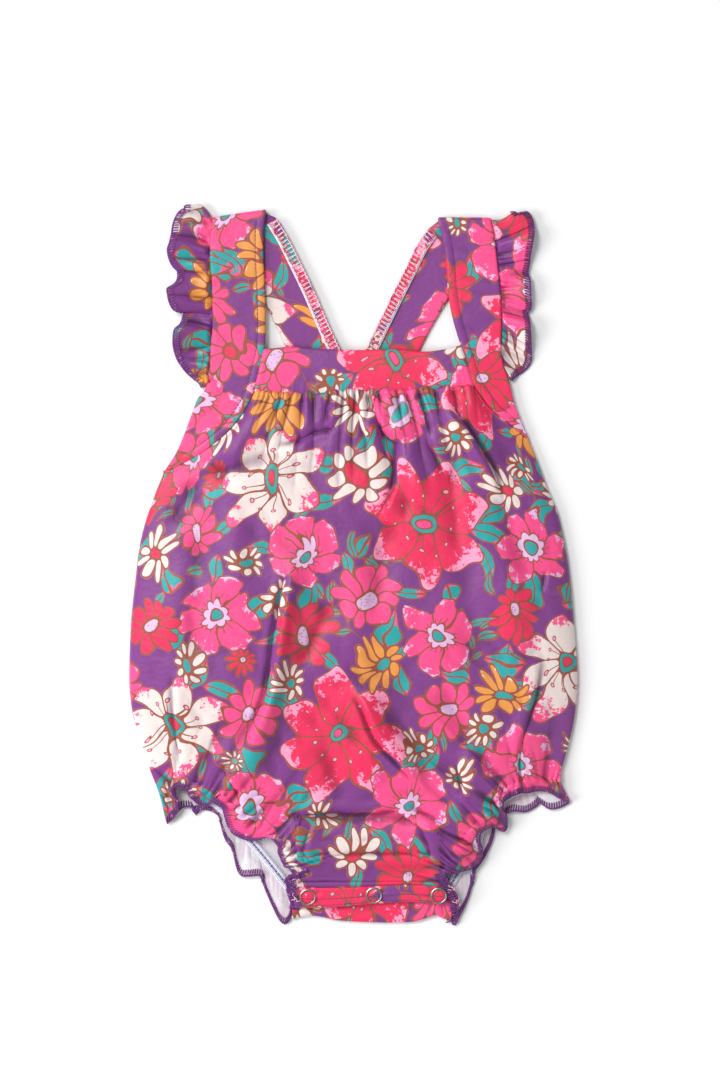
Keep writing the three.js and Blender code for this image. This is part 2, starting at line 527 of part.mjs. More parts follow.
function back() {
  const legColumns = 24;
  const hemColumns = 8;
  const all = 2 * legColumns + hemColumns;
  const flat = (points) => points.map(([x, y]) => [x, y, FLOOR_JERSEY]);
  const strip = (leftCurve, middle, rightCurve) => joined([
    { curve: through(leftCurve), columns: legColumns },
    { curve: through(middle), columns: hemColumns },
    { curve: through(rightCurve), columns: legColumns },
  ]);
  const top = through(shifted(BACK_TOP, 0, -SEAM_GAP));
  const legs = strip(flat(BACK_ELASTIC.left), flat(BACK_ELASTIC.hem), flat(BACK_ELASTIC.right));
  const edge = strip(BACK_EDGE.left, flat(BACK_HEM), BACK_EDGE.right);
  const left = through(SIDES.left);
  const right = through(SIDES.right);
  const grid = shares(10).map((down) => shares(all).map((across) => [
    ...spanned(top, legs, left, right, across, down), FLOOR_JERSEY]));
  [1 / 3, 2 / 3, 1].forEach((out) => grid.push(shares(all).map((across) => {
    const point = mix(legs(across), edge(across), out);
    point[2] = Math.max(point[2], FLOOR_JERSEY);
    return point;
  })));
  return sheet(grid, JERSEY);
}

function bib() {
  const top = through(SEAMS.bibTop);
  const bottom = through(SEAMS.bib);
  const rows = shares(5).map((down) => shares(28).map((across) => {
    const [x, y] = mix(top(across), bottom(across), down);
    const seam = seamHeight((COLUMNS.arm + COLUMNS.bib * across) / FRONT_COLUMNS);
    return [x, y, BIB_TOP + (seam - BIB_TOP) * down + BIB_ROUNDING * Math.sin(Math.PI * down)];
  }));
  return sheet(rows, BAND);
}

// Points round a fold: from the upper layer, over the fold line, to the lower layer
function foldRound(edge, upper, lower, direction) {
  const radius = (upper - lower) / 2;
  const middle = (upper + lower) / 2;
  return [0.25, 0.5, 0.75].map((turn) => {
    const angle = Math.PI * turn;
    return [edge[0] + direction[0] * radius * Math.sin(angle), edge[1] + direction[1] * radius * Math.sin(angle),
      middle + radius * Math.cos(angle)];
  });
}

function strap(frontSections, backSections) {
  const outerFront = through(frontSections.map((row) => row.outer));
  const innerFront = through(frontSections.map((row) => row.inner));
  const pairs = shares(26).map((share) => [outerFront(share), innerFront(share)]);
  const [outerEnd, innerEnd] = pairs[pairs.length - 1];
  const outerFold = foldRound(outerEnd, SHOULDER_STRAP, FLOOR_STRAP, [0, 1]);
  const innerFold = foldRound(innerEnd, SHOULDER_STRAP, FLOOR_STRAP, [0, 1]);
  outerFold.forEach((point, i) => pairs.push([point, innerFold[i]]));
  const lowered = (point) => [point[0], point[1], FLOOR_STRAP];
  const outerBack = through([lowered(outerEnd), ...backSections.map((row) => lowered(row.outer))]);
  const innerBack = through([lowered(innerEnd), ...backSections.map((row) => lowered(row.inner))]);
  shares(14).forEach((share) => pairs.push([outerBack(share), innerBack(share)]));
  return foldedSheet(pairs.map(([outer, inner]) => shares(4).map((f) => mix(outer, inner, f))), DOUBLED);
}

// Wall of even thickness on a grid that is folded over, so that its normals turn with it.
// The rim is moved out along the same normals, kept square to the rim.
function foldedSheet(grid, thickness) {
  const at = (j, i) => new THREE.Vector3(...grid[j][i]);
  const rows = grid.length - 1;
  const columns = grid[0].length - 1;
  const directions = grid.map((row, j) => row.map((_, i) => {
    const down = at(Math.min(j + 1, rows), i).sub(at(Math.max(j - 1, 0), i));
    const across = at(j, Math.min(i + 1, columns)).sub(at(j, Math.max(i - 1, 0)));
    return down.cross(across).normalize().toArray();
  }));
  const sign = directions[1][1][2] < 0 ? -1 : 1;
  return wall(moved(grid, directions, sign * thickness / 2), moved(grid, directions, -sign * thickness / 2));
}

// Frill along the outer edge of a strap, over the shoulder and back under itself
// crest is how far its top edge bulges up between the strap and its free edge
function ruffle(frontSections, backSections, freeEdge, underEdge, side, crest) {
  const bottomShare = 0.36;
  const rootGap = 0.75; // a little wider than at the other seams, because the frill tilts
  const hiddenShare = 0.4; // of the back strap's outer edge, so that the frill ends behind the front strap
  const outer = beside(through(frontSections.map((row) => row.outer)), -side * rootGap);
  const free = through(freeEdge);
  const front = shares(36).map((share) => [outer(bottomShare + (1 - bottomShare) * share), free(share),
    crest * ramp((share - 0.8) / 0.2)]);
  const [rootTop, freeTop] = front[front.length - 1];
  const under = (point) => [point[0], point[1], FLOOR_JERSEY + 0.1];
  const rootFold = foldRound(rootTop, rootTop[2], FLOOR_JERSEY + 0.1, [0, 1]);
  const freeFold = foldRound(freeTop, freeTop[2], FLOOR_JERSEY + 0.1, [0, 1]);
  const pairs = [...front];
  rootFold.forEach((point, i) => pairs.push([point, freeFold[i], crest]));
  const backOuter = beside(through(backSections.map((row) => row.outer)), side * 2 * rootGap);
  const backRoot = through([rootTop, ...shares(3).map((share) => backOuter(hiddenShare * share))].map(under));
  const backFree = through([freeTop, ...underEdge.slice(1)].map(under));
  shares(8).forEach((share) => pairs.push([backRoot(share), backFree(share), crest * (1 - ramp(share / 0.5))]));
  const bend = (root, end, lift, f) => {
    const point = mix(root, end, f);
    point[1] += lift * Math.sin(Math.PI * f ** 0.9) ** 2;
    point[2] = root[2] + (end[2] - root[2]) * ramp(f);
    return point;
  };
  return foldedSheet(pairs.map(([root, end, lift]) => shares(6).map((f) => bend(root, end, lift, f))), JERSEY);
}

// Flat strip of a given width on one side of a line, at one height
function stripAlong(line, width, height, thickness, count, side) {
  const near = through(line.map(([x, y]) => [x, y, height]));
  const far = beside(near, side * width);
  return sheet(shares(count).map((share) => [near(share), far(share)]), thickness);
}

// Folded seam allowance that lies on the back strap along its neck edge
function sergedSeam(backSections, side) {
  const line = backSections.slice(0, 6).map((row) => [row.inner[0] + side * 0.4, row.inner[1] - 0.2]);
  const height = DOUBLED + SEAM_GAP + SERGED_WALL / 2;
  return stripAlong(line, SERGED_WIDTH, height, SERGED_WALL, 16, side);
}

function frontPlacket() {
  const top = through(shifted(SEAMS.placketTop, 0, -0.1));
  const bottom = through(SEAMS.placketBottom);
  const rows = shares(3).map((down) => shares(20).map((across) => [
    ...mix(top(across), bottom(across), down), PLACKET_HEIGHT]));
  return sheet(rows, SNAP_TAPE);
}

// Strip that binds the end of the back and turns up over the fold, under the front placket
function backPlacket() {
  const fold = through(CROTCH_FOLD);
  const lower = SNAP_TAPE / 2;
  const radius = (FLAP_HEIGHT - lower) / 2;
  const turnedUp = -187.5;
  const columns = shares(20).map((across) => {
    const [x, outline] = fold(across);
    const line = outline + radius + SNAP_TAPE / 2;
    const start = BACK_HEM[0][1] - SEAM_GAP - 0.1;
    return [
      [x, start, lower],
      [x, line, lower],
      ...foldRound([x, line], FLAP_HEIGHT, lower, [0, -1]).reverse(),
      [x, line, FLAP_HEIGHT],
      [x, (line + turnedUp) / 2, FLAP_HEIGHT],
      [x, turnedUp, FLAP_HEIGHT],
    ];
  });
  return foldedSheet(columns, SNAP_TAPE);
}

// Casing on the inside of the back, on the body's side of the leg line
function elastic(line) {
  const height = JERSEY + SEAM_GAP + 0.1 + ELASTIC_WALL / 2;
  return stripAlong(line, ELASTIC_WIDTH, height, ELASTIC_WALL, 18, 1);
}

// Turned section about the snap's axis, standing at a height
function turned(profile, height, segments) {
  const geometry = new THREE.LatheGeometry(profile.map(([r, h]) => new THREE.Vector2(r, h)), segments);
  geometry.rotateX(Math.PI / 2);
  geometry.translate(0, 0, height);
  return geometry;
}

function snap(number, [x, y]) {
  const half = (RING_OUTER - RING_INNER) / 2;
  const middle = (RING_OUTER + RING_INNER) / 2;
  const corners = [0, 1, 2, 3, 4, 5, 6, 7, 0].map((k) => {
    const angle = (2 * Math.PI * k) / 8;
    return [middle + half * Math.cos(angle), RING_HEIGHT / 2 * Math.sin(angle)];
  });
  const ringHeight = PLACKET_HEIGHT + SNAP_TAPE / 2 + SEAM_GAP + RING_HEIGHT / 2;
  const ring = add(`snap_ring_${number}`, turned(corners, ringHeight, 24), COLOURS.snap, 0.3, 1);
  ring.position.set(x, y, 0);
  const disc = [[0, 0], [FASTENER_RADIUS, 0], [FASTENER_RADIUS, FASTENER_HEIGHT], [0, FASTENER_HEIGHT]];
  const discHeight = FLAP_HEIGHT + SNAP_TAPE / 2 + SEAM_GAP;
  const fastener = add(`snap_fastener_${number}`, turned(disc, discHeight, 20), COLOURS.snap, 0.3, 1);
  fastener.position.set(x, y, 0);
}

add('back', back(), COLOURS.print);
add('front', front(), COLOURS.print);
add('bib', bib(), COLOURS.print);
add('strap_left', strap(STRAP_LEFT, BACK_STRAP_LEFT), COLOURS.print);
add('strap_right', strap(STRAP_RIGHT, BACK_STRAP_RIGHT), COLOURS.print);
add('ruffle_left', ruffle(STRAP_LEFT, BACK_STRAP_LEFT, RUFFLE_LEFT, UNDER_LEFT, -1, CREST_LEFT),
  COLOURS.print);
add('ruffle_right', ruffle(STRAP_RIGHT, BACK_STRAP_RIGHT, RUFFLE_RIGHT, UNDER_RIGHT, 1, CREST_RIGHT),
  COLOURS.print);
add('seam_left', sergedSeam(BACK_STRAP_LEFT, -1), COLOURS.print);
add('seam_right', sergedSeam(BACK_STRAP_RIGHT, 1), COLOURS.print);
add('placket_front', frontPlacket(), COLOURS.print);
add('placket_back', backPlacket(), COLOURS.print);
add('elastic_left', elastic(BACK_ELASTIC.left.slice(2, -1)), COLOURS.elastic);
add('elastic_right', elastic(BACK_ELASTIC.right.slice(1, -2)), COLOURS.elastic);
SNAP_CENTRES.forEach((centre, i) => snap(i + 1, centre));

export default group;
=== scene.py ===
import math
import random

import bpy
import numpy as np
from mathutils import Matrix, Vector


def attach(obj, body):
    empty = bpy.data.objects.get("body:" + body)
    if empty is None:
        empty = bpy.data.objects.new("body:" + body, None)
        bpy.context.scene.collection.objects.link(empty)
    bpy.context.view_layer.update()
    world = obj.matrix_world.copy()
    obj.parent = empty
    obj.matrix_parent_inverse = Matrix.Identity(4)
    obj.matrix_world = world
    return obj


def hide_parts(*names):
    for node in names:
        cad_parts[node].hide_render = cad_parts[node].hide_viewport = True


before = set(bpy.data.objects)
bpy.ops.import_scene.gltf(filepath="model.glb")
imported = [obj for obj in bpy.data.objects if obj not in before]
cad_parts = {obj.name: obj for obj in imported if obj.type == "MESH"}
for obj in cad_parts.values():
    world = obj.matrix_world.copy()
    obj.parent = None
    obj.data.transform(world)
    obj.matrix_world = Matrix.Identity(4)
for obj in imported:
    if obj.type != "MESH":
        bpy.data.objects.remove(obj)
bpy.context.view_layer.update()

# A baby's bubble romper, laid flat with its front up. Shapes are worked out in millimetres, seen from
# above, with +Y towards the shoulders, and go to Blender in metres.
MM = 0.001

# Cloth and thread
JERSEY = 1.2
DOUBLED = 1.8
BAND = 2.0
TUCKED = 4  # rows or columns of a cloth that go on under its neighbour
SNAP_TAPE = 1.6
SEAM_GAP = 0.3
OVERLOCK_WIDTH = 3.2
OVERLOCK_PITCH = 1.5
TOPSTITCH = 2.4  # length of a stitch, with the gap after it
STITCH_LINE = 4.9  # how far the straps' stitches run from the inner seam
LADDER_PITCH = 2.5
SERGED_WIDTH = 5.2
SERGED_WALL = 1.0
BARE_EDGE = 1.2  # raw edge of the cloth that shows beside the serging
ELASTIC_WIDTH = 5.0
ELASTIC_WALL = 1.0
RING_OUTER = 4.8
RING_INNER = 3.7
RING_HEIGHT = 0.9

# Heights of the middle of each wall above the surface
FLOOR_JERSEY = JERSEY / 2
FLOOR_STRAP = DOUBLED / 2
SHOULDER_STRAP = 3.9
SEAM_ENDS = 2.7
SEAM_MIDDLE = 5.4
BIB_TOP = 4.5
BIB_ROUNDING = 0.5
SIDE_SEAM = 2.1
FLAP_HEIGHT = 3.2
PLACKET_HEIGHT = 7.0

# Columns and rows of the front and back, how many finer columns each becomes, and rows of a strap's top
ARM_COLUMNS = 12
BIB_COLUMNS = 64
LEG_COLUMNS = 36
PLACKET_COLUMNS = 16
FRONT_COLUMNS = 2 * ARM_COLUMNS + BIB_COLUMNS
FINER = 4
FRONT_ROWS = 200
FRILL_ROWS = 24
BACK_LEG_COLUMNS = 24
BACK_HEM_COLUMNS = 8
BACK_FINER = 5
STRAP_ROWS = 130
RUFFLE_ROWS = 180

# The photo, and the camera straight above
PICTURE_HEIGHT = 1080
PIXEL = 0.584  # millimetres that a pixel spans
LENS, SENSOR = 100.0, 36.0
VIEW_CENTRE = (3.8, 14.25)
FLOOR_SIZE = 14.0  # metres from the middle to each side

# Outlines from above: [across, up], and a height where there is a third value
ARM_LEFT = [[-110.7, 53.1], [-95.5, 60.4], [-80.5, 70.3], [-71.5, 78.2], [-64.5, 87], [-57.1, 100.4]]
BIB_SEAM = [
    [-57.1, 100.4], [-41.2, 98.6], [-24.8, 98.3], [-2, 99.8], [24.8, 100.4], [41.2, 101], [58.1, 102.4],
    [69.5, 103.3],
]
ARM_RIGHT = [[69.5, 103.3], [79.4, 90.4], [89.4, 82.6], [101.7, 72.3]]
BIB_EDGE = [
    [-51.2, 125.6], [-35.9, 126.7], [-19, 125.5], [7.3, 124.9], [24.8, 125.5], [40, 124], [52.3, 125.2],
    [61.6, 127.5],
]
PLACKET_SEAM = [[-35.3, -187.4], [-13.7, -187.8], [11.4, -186.9], [33, -186], [55, -187.4]]
PLACKET_EDGE = [[-34, -199.8], [-13.7, -199.5], [11.4, -197.5], [33, -196.4], [54, -198]]
SIDE_LEFT = [
    [-110.7, 52.8], [-116.5, 37.6], [-121.2, 23.6], [-124.4, 9.6], [-126.7, -9.1], [-129.1, -32.5],
    [-130.2, -58.8], [-129.9, -74.5], [-127.9, -88.5], [-123.5, -102.6], [-119.4, -116.6], [-114.2, -130.6],
    [-112.1, -137.6],
]
SIDE_RIGHT = [
    [101.9, 72.1], [107.2, 58.6], [112.4, 44.6], [118.3, 30.6], [121.8, 16.6], [124.4, 2.6], [126.4, -13.8],
    [127.9, -32.5], [129.6, -53.5], [130.2, -68.7], [129.4, -81.5], [127.3, -95.5], [123.8, -109.6],
    [120.8, -121], [120.6, -127.1],
]
FRONT_ELASTIC_LEFT = [
    [-112.1, -137.6, 2.1], [-102.5, -124.6, 4.4], [-89.6, -127.2, 7], [-79.1, -131.8, 8.2],
    [-67.5, -141.1, 8.6], [-56.9, -150.4, 8.6], [-45.8, -157.4, 8.4], [-37.1, -166.8, 8],
    [-32, -177.3, 7.4], [-31.6, -184.6, 7],
]
FRONT_ELASTIC_MIDDLE = [[-31.6, -184.6, 7], [11.4, -184.4, 7], [50.5, -184.4, 7]]
FRONT_ELASTIC_RIGHT = [
    [50.5, -184.4, 7], [53, -176.1, 7.4], [60.4, -166.8, 8], [65.7, -156.9, 8.4], [71, -150.4, 8.6],
    [78.5, -144, 8.6], [83.5, -136, 8.2], [90.2, -128.8, 7.4], [103.1, -124.9, 5.6], [113.6, -125.2, 3.4],
    [120.6, -127.1, 2.1],
]
BACK_ELASTIC_LEFT = [
    [-112.1, -137.6], [-98.4, -133.5], [-85, -138.3], [-75, -147.1], [-66.3, -157.6], [-53.4, -172.8],
    [-38.8, -190.9], [-35.5, -195],
]
BACK_ELASTIC_HEM = [[-35.5, -195], [10.5, -195], [56.6, -195]]
BACK_ELASTIC_RIGHT = [
    [56.6, -195], [59, -188], [66.1, -176.3], [74.5, -162.9], [79.1, -148.1], [88.5, -138.8],
    [103.1, -131.8], [113.6, -129], [120.6, -127.1],
]
FRONT_EDGE_LEFT = [
    [-109, -150.7, 2.4], [-105.8, -147.9, 3], [-102.5, -142.7, 5], [-102.8, -137, 7.6], [-106, -132.2, 8.6],
    [-105.4, -129.4, 8.8], [-103.4, -128.4, 8.8], [-100.2, -129, 8], [-96.9, -130.6, 7],
    [-94.6, -134.1, 5.6], [-91.7, -137.8, 4.4], [-88, -139.9, 4.2], [-84.4, -140, 5], [-83.1, -138.2, 6.4],
    [-81.4, -135.4, 8.4], [-79.4, -136.6, 8.4], [-76, -140.5, 6.8], [-74.2, -146.8, 5.4],
    [-72.3, -152.7, 4.6], [-68.6, -156.9, 4.4], [-61.4, -160, 4.6], [-57, -159.7, 6], [-52.5, -158, 7.8],
    [-48.6, -157.8, 8.8], [-45.3, -160.4, 8.4], [-43, -164.4, 7], [-42.2, -169.5, 5.4],
    [-39.7, -174.6, 5.4], [-36.6, -175.6, 6.6], [-35, -179, 6.6], [-35.2, -184.3, 6.6], [-35.3, -187.1, 7],
]
FRONT_EDGE_RIGHT = [
    [55, -187.1, 7], [53.8, -185.2, 7], [53.4, -182.2, 7], [56.1, -179.6, 6.4], [63.4, -177.9, 5.2],
    [70.1, -175.1, 4.6], [74, -170.6, 4.6], [74.5, -165, 6], [72.9, -160.5, 7.8], [73.2, -156.5, 8.2],
    [75.9, -153.7, 7.8], [81.2, -151.8, 6.6], [84, -153.3, 5], [87.4, -155, 3.8], [89.1, -152.7, 3.8],
    [88.5, -148.3, 5], [86.3, -142.7, 7.2], [86.6, -138.4, 8.4], [89.8, -135.2, 8.4], [94.1, -132.8, 7.6],
    [100.8, -132, 6], [109.2, -131.2, 5], [114.8, -132.6, 4.2], [120.4, -136, 3.2], [126, -138.2, 2.4],
]
BACK_EDGE_LEFT = [
    [-109, -150.7, 0.7], [-104.8, -146.4, 0.8], [-100.2, -141.6, 1.2], [-95.8, -140.8, 1.6],
    [-93.5, -141.9, 1.6], [-92, -145.6, 1.2], [-89.6, -142.8, 0.9], [-83.8, -143.1, 0.8],
    [-78.2, -146.9, 1], [-76.9, -152.8, 1.8], [-74.3, -160.5, 2.4], [-71, -165, 1.6], [-69.8, -169, 0.8],
    [-67.6, -177.3, 0.8], [-65.3, -181, 1.6], [-61.6, -181.3, 2.6], [-53.6, -181.2, 2.4],
    [-52.5, -186.2, 1], [-49.2, -194.1, 0.8], [-45.3, -202.4, 1.4], [-42.5, -207.5, 1.8],
    [-40, -209.2, 1.4], [-37.2, -206.5, 0.9], [-36.2, -199.2, 0.6],
]
BACK_EDGE_RIGHT = [
    [57.2, -199.2, 0.6], [57.4, -206.5, 0.9], [58.2, -209.8, 1.4], [59.5, -209.7, 1.6], [61.1, -205.8, 1.4],
    [63.9, -200.8, 1], [66.8, -194.1, 0.8], [69, -186.8, 1.2], [70.1, -180.1, 2], [71.4, -177.3, 2.2],
    [75.1, -172.3, 1.6], [79, -165, 0.9], [81.2, -159.4, 0.8], [82.9, -152.7, 1.2], [86.6, -146.8, 1.6],
    [93, -143.3, 2.4], [97.5, -143.7, 1.8], [100.8, -143.8, 1.2], [106.4, -140.8, 0.8],
    [108.6, -138.4, 0.8], [110.2, -139.4, 1.2], [113.6, -141.8, 2], [117.6, -142.1, 1.8],
    [123.2, -140.1, 1], [126, -138.2, 0.7],
]
BACK_TOP = [
    [-110.7, 52.8], [-89.6, 59.8], [-66.3, 70.6], [-45.8, 83.1], [-31.2, 93], [-26.5, 96.6], [0, 96.8],
    [26.5, 96.6], [31.2, 93], [50.5, 83.5], [73.9, 76.3], [101.9, 72.1],
]
BACK_HEM = [[-36.2, -199.2], [-13.7, -198.9], [11.7, -198.9], [35.9, -198.9], [57.2, -199.2]]
CROTCH_FOLD = [
    [-35.8, -206.6], [-25.4, -205], [-18.4, -205.6], [-10.8, -207.4], [-0.9, -208.3], [10.2, -208.8],
    [24.2, -209], [35.9, -208.3], [43.5, -205.9], [48.2, -204.5], [51.1, -205.9], [57.2, -208.4],
]
SNAP_CENTRES = [[-26.8, -193.4], [11.7, -192.4], [49.4, -192.6]]

# Strap sections, from the underarm to the shoulder fold: outer and inner edge [across, up, height]
STRAP_LEFT_OUTER = [
    [-109.5, 55.4, 2.6], [-103.1, 65.6, 2.6], [-97.2, 79.7, 2.8], [-94, 88.4, 3], [-90.8, 96.6, 3.2],
    [-86.4, 102.4, 3.3], [-84.4, 111.8, 3.4], [-83.2, 127.5, 3.5], [-82.3, 142.7, 3.6], [-82.6, 159.7, 3.8],
    [-83.8, 180.1, 3.9], [-83.5, 190.6, 3.9], [-82.1, 200.2, 3.9],
]
STRAP_LEFT_INNER = [
    [-108.4, 54.6, 2.7], [-91.4, 63.1, 3.4], [-76.2, 74.4, 3.9], [-67.2, 84, 4.2], [-61.1, 93.6, 4.4],
    [-57.6, 101.8, 4.5], [-54.4, 114.1, 4.4], [-51.6, 126.4, 4.1], [-51.1, 142.7, 3.8], [-51.3, 157.9, 3.8],
    [-52.3, 177.8, 3.9], [-52.3, 194.1, 3.9], [-50.9, 204.8, 3.9],
]
STRAP_RIGHT_OUTER = [
    [101.4, 74.6, 2.6], [97.8, 82.6, 2.7], [94, 93.1, 3], [92.3, 99.5, 3.2], [90.2, 108.3, 3.3],
    [87.5, 115.9, 3.4], [86.1, 125.2, 3.5], [86.4, 142.7, 3.6], [85.6, 160.8, 3.8], [83.8, 176.6, 3.9],
    [82.1, 191.5, 3.9], [80.3, 199.9, 3.9],
]
STRAP_RIGHT_INNER = [
    [100.4, 74, 2.7], [90.6, 82.3, 3.4], [81.2, 89.6, 3.9], [76, 96, 4.2], [70.2, 104.2, 4.5],
    [66, 115.9, 4.4], [62.4, 127.5, 4.1], [57.8, 143.3, 3.8], [55.2, 157.3, 3.8], [53.7, 176.6, 3.9],
    [51.4, 191.8, 3.9], [49.3, 200.2, 3.9],
]
# From the shoulder fold down the back: outer and inner edge [across, up]
BACK_LEFT_OUTER = [
    [-76.8, 193.6], [-68.6, 182.4], [-60.4, 169], [-51.5, 152.4], [-39.7, 127.3], [-31.8, 111.2],
    [-25.4, 97.6],
]
BACK_LEFT_INNER = [
    [-44.6, 201.6], [-38.7, 192], [-32.4, 179.5], [-23.7, 161.4], [-12, 134.6], [-0.7, 111.2], [-0.7, 97.6],
]
BACK_RIGHT_OUTER = [
    [75.6, 190.4], [69.2, 177.8], [62.2, 166.1], [55.2, 154.6], [45.8, 138.6], [38.8, 125.2], [31.8, 111.2],
    [25.4, 97.6],
]
BACK_RIGHT_INNER = [
    [43, 195], [37.1, 186.5], [30.1, 172.4], [23.7, 159.7], [14.9, 141.6], [7.3, 125.8], [0.7, 111.2],
    [0.7, 97.6],
]
RUFFLE_LEFT = [
    [-88.2, 103.2, 2.8], [-90.6, 106.6, 2.4], [-96.1, 111.1, 1.6], [-100.5, 116.4, 1.4],
    [-103.2, 121.4, 2.2], [-104.5, 126.7, 4.2], [-104.5, 132, 6.4], [-103.6, 136.6, 7.4],
    [-100.5, 139.7, 6.6], [-99, 145, 3.6], [-98.4, 149, 2.4], [-100.6, 148.4, 3.4], [-103.4, 147.6, 4.6],
    [-105.9, 150.5, 6], [-107.6, 156.3, 7.6], [-107.9, 160.6, 8.2], [-104.9, 162.6, 7.6],
    [-102.5, 165.5, 5.8], [-102.3, 171.1, 3], [-104.9, 173.7, 2.8], [-107, 177.8, 4.2],
    [-107.9, 183.1, 6.4], [-106.8, 186.7, 6.6], [-105.6, 192.5, 5], [-104.7, 198.7, 4],
    [-102.7, 203.4, 4.2], [-100.5, 206, 4.8], [-97.8, 207.2, 5],
]
RUFFLE_RIGHT = [
    [92, 107.6, 2.8], [95, 110.2, 2.2], [98.9, 112.9, 1.6], [102, 116.1, 1.8], [103.2, 119.2, 2.6],
    [103.2, 125.1, 4.4], [102.8, 130.9, 5.8], [102.6, 136.8, 6], [102, 143.8, 3.8], [101.3, 146.9, 2.8],
    [103, 149.3, 4.2], [103, 154.4, 6.4], [102.6, 159.1, 7.2], [102.4, 166.1, 5], [101.4, 169.6, 3],
    [102, 174.7, 3.2], [102.8, 180.6, 5.6], [103.6, 186, 7.2], [104.5, 191.5, 6.4], [104.8, 197, 4.6],
    [103.6, 201.7, 4.2], [101.3, 205, 4.6], [98, 205, 4.8], [94.6, 203.4, 4.8],
]
UNDER_LEFT = [[-97.4, 206.4], [-99.4, 198], [-99, 188], [-95, 178], [-88, 168], [-78, 160]]
UNDER_RIGHT = [[94.4, 201.6], [97, 195], [97.4, 186], [94, 177], [87, 168], [77, 160.4]]
CREST_LEFT = 4.5
CREST_RIGHT = -2.0
HIDDEN_SHARE = 0.4  # of the back strap's outer edge, along which the frill's hidden half runs
# Overlocked ends of the placket: edge [across, up, height] and the side on which the cloth lies
PLACKET_ENDS = {
    "left_end": ([[-37.0, -180.6, 8.6], [-38.6, -184.6, 8.4], [-38.0, -190.4, 8.0], [-36.0, -196.8, 7.2],
                  [-36.6, -201.4, 4.2]], (1, 0.1), 4.4),
    "left_bar": ([[-40.0, -183.6, 8.6], [-36.4, -181.4, 9.6], [-31.0, -179.2, 9.6], [-26.2, -176.8, 8.8]],
                 (0.1, -1), 2.6),
    "right_end": ([[51.4, -178.6, 8.6], [53.6, -182.8, 9.0], [56.4, -187.2, 9.0], [59.4, -191.6, 8.2],
                   [60.6, -196.6, 6.2], [60.2, -203.0, 3.4], [59.0, -208.4, 1.8]], (-1, -0.1), 5.0),
}
RUFFLE_START = 0.36  # share of the strap's outer edge at which its ruffle begins

# The front's height down the garment: share of the way down, at the sides and in the middle
PROFILE_DOWN = [0.0, 0.08, 0.25, 0.5, 0.72, 0.88, 1.0]
PROFILE_SIDE = [2.7, 2.5, 2.1, 2.1, 2.1, 2.1, 2.1]
PROFILE_MIDDLE = [5.4, 9.0, 12.0, 13.6, 13.0, 10.6, 7.0]

# Large folds of the front, which its solid has too: from and to [across, up], half width, rise
FOLDS = [
    ((-36, 4), (-47, -70), 8, 3.2), ((-47, -66), (-62, -128), 7, 2.8), ((-2, -72), (36, -130), 8, 2.4),
    ((18, 96), (30, 28), 5, -2.4), ((25, 94), (40, 36), 6, 2.2), ((-34, 70), (-6, 78), 5, -2.2),
    ((-50, 92), (-80, 56), 7, 2), ((54, 94), (78, 56), 7, 2.2), ((-37, -146), (45, -148), 5, -1.8),
    ((-30, -165), (50, -170), 5, 1.4), ((88, 4), (95, -78), 10, 1.8), ((-95, 4), (-106, -88), 10, 1.6),
    ((4, 16), (1, -54), 9, 1.6), ((67, -106), (73, -142), 6, 1.8), ((-69, -98), (-75, -134), 6, 1.6),
]
# Sharp creases of the front's cloth, from above: points of the line, width of the soft side, which is
# to the left of the line as it runs, width of the steep side, rise, and how far the print slips under
CREASES = [
    ([[4.4, 97.8], [6.1, 84.3], [9.1, 71.5]], 5, 1.2, 1.8, 3),
    ([[14.1, 98.3], [16.6, 82], [21.3, 76.7], [29.5, 70.9]], 7, 1.3, 2.4, 4),
    ([[28.3, 72.6], [26.6, 61.6], [25.7, 46.4], [21.3, 34.4], [14.9, 24.2]], 8, 1.4, 1.7, 4),
    ([[85.6, 34.7], [79.1, 54], [71.5, 66.8], [64.3, 78.1], [56.9, 86.7], [51.1, 96]], 8, 1.6, 2.5, 4),
    ([[-3.8, 83.7], [-10.2, 77.3], [-23.2, 73.5], [-31.6, 68.9], [-46.1, 65.6]], 7, 1.4, 1.6, 2),
    ([[-64.5, -110.7], [-55.8, -92], [-48.8, -73.4], [-44.7, -44.2], [-40.6, -19.6], [-35.9, 7.2]],
     9, 1.5, -1.3, 0),
   
    ([[-35.9, 7.2], [-40.6, -19.6], [-44.7, -44.2], [-48.8, -73.4], [-55.8, -92], [-64.5, -110.7]],
     10, 1.4, 1.9, 5),
    ([[-3.2, -71], [5, -79.2], [14.3, -99.6], [26, -112.5], [38.8, -127.1]], 9, 1.4, 2.2, 5),
    ([[97.2, -135.3], [93.7, -121.2], [94.3, -105.5], [98.4, -92], [104.2, -73.4], [107.2, -48.8]],
     7, 1.3, 1.4, 4),
    ([[114.2, -3.3], [111.3, -18.5]], 5, 1.1, 0.9, 1.5),
    ([[50.5, -146], [22.1, -143.9], [3.1, -145], [-22.6, -143.9], [-45, -147.2]], 6, 1.6, -1.2, 0),
    ([[51.1, -158.6], [47.8, -152.8], [31, -143.9], [15.4, -147.2]], 4, 1.6, 1.2, 0),
    ([[42.9, 80.8], [46.4, 70.9], [53.1, 58.6], [54.6, 49.3]], 6, 1.6, 1.2, 1),
    ([[-13.1, 94.8], [-13.7, 84.3], [-16.1, 77.3]], 4, 1.2, 1, 1),
    ([[-74.5, -114.2], [-66.3, -128.8], [-61.6, -144.6]], 5, 1.4, 1.2, 1),
    ([[62, -112], [64.5, -126], [66, -138]], 5, 1.3, 1.3, 1.5),
    ([[-20.7, -150], [-25, -160], [-27, -172]], 3.5, 1.2, 0.9, 0.5),
    ([[40, -152], [46, -163], [47, -174]], 3.5, 1.2, 0.9, 0.5),
    ([[-103, -60], [-101, -92], [-96, -118]], 6, 1.6, 1, 1),
]
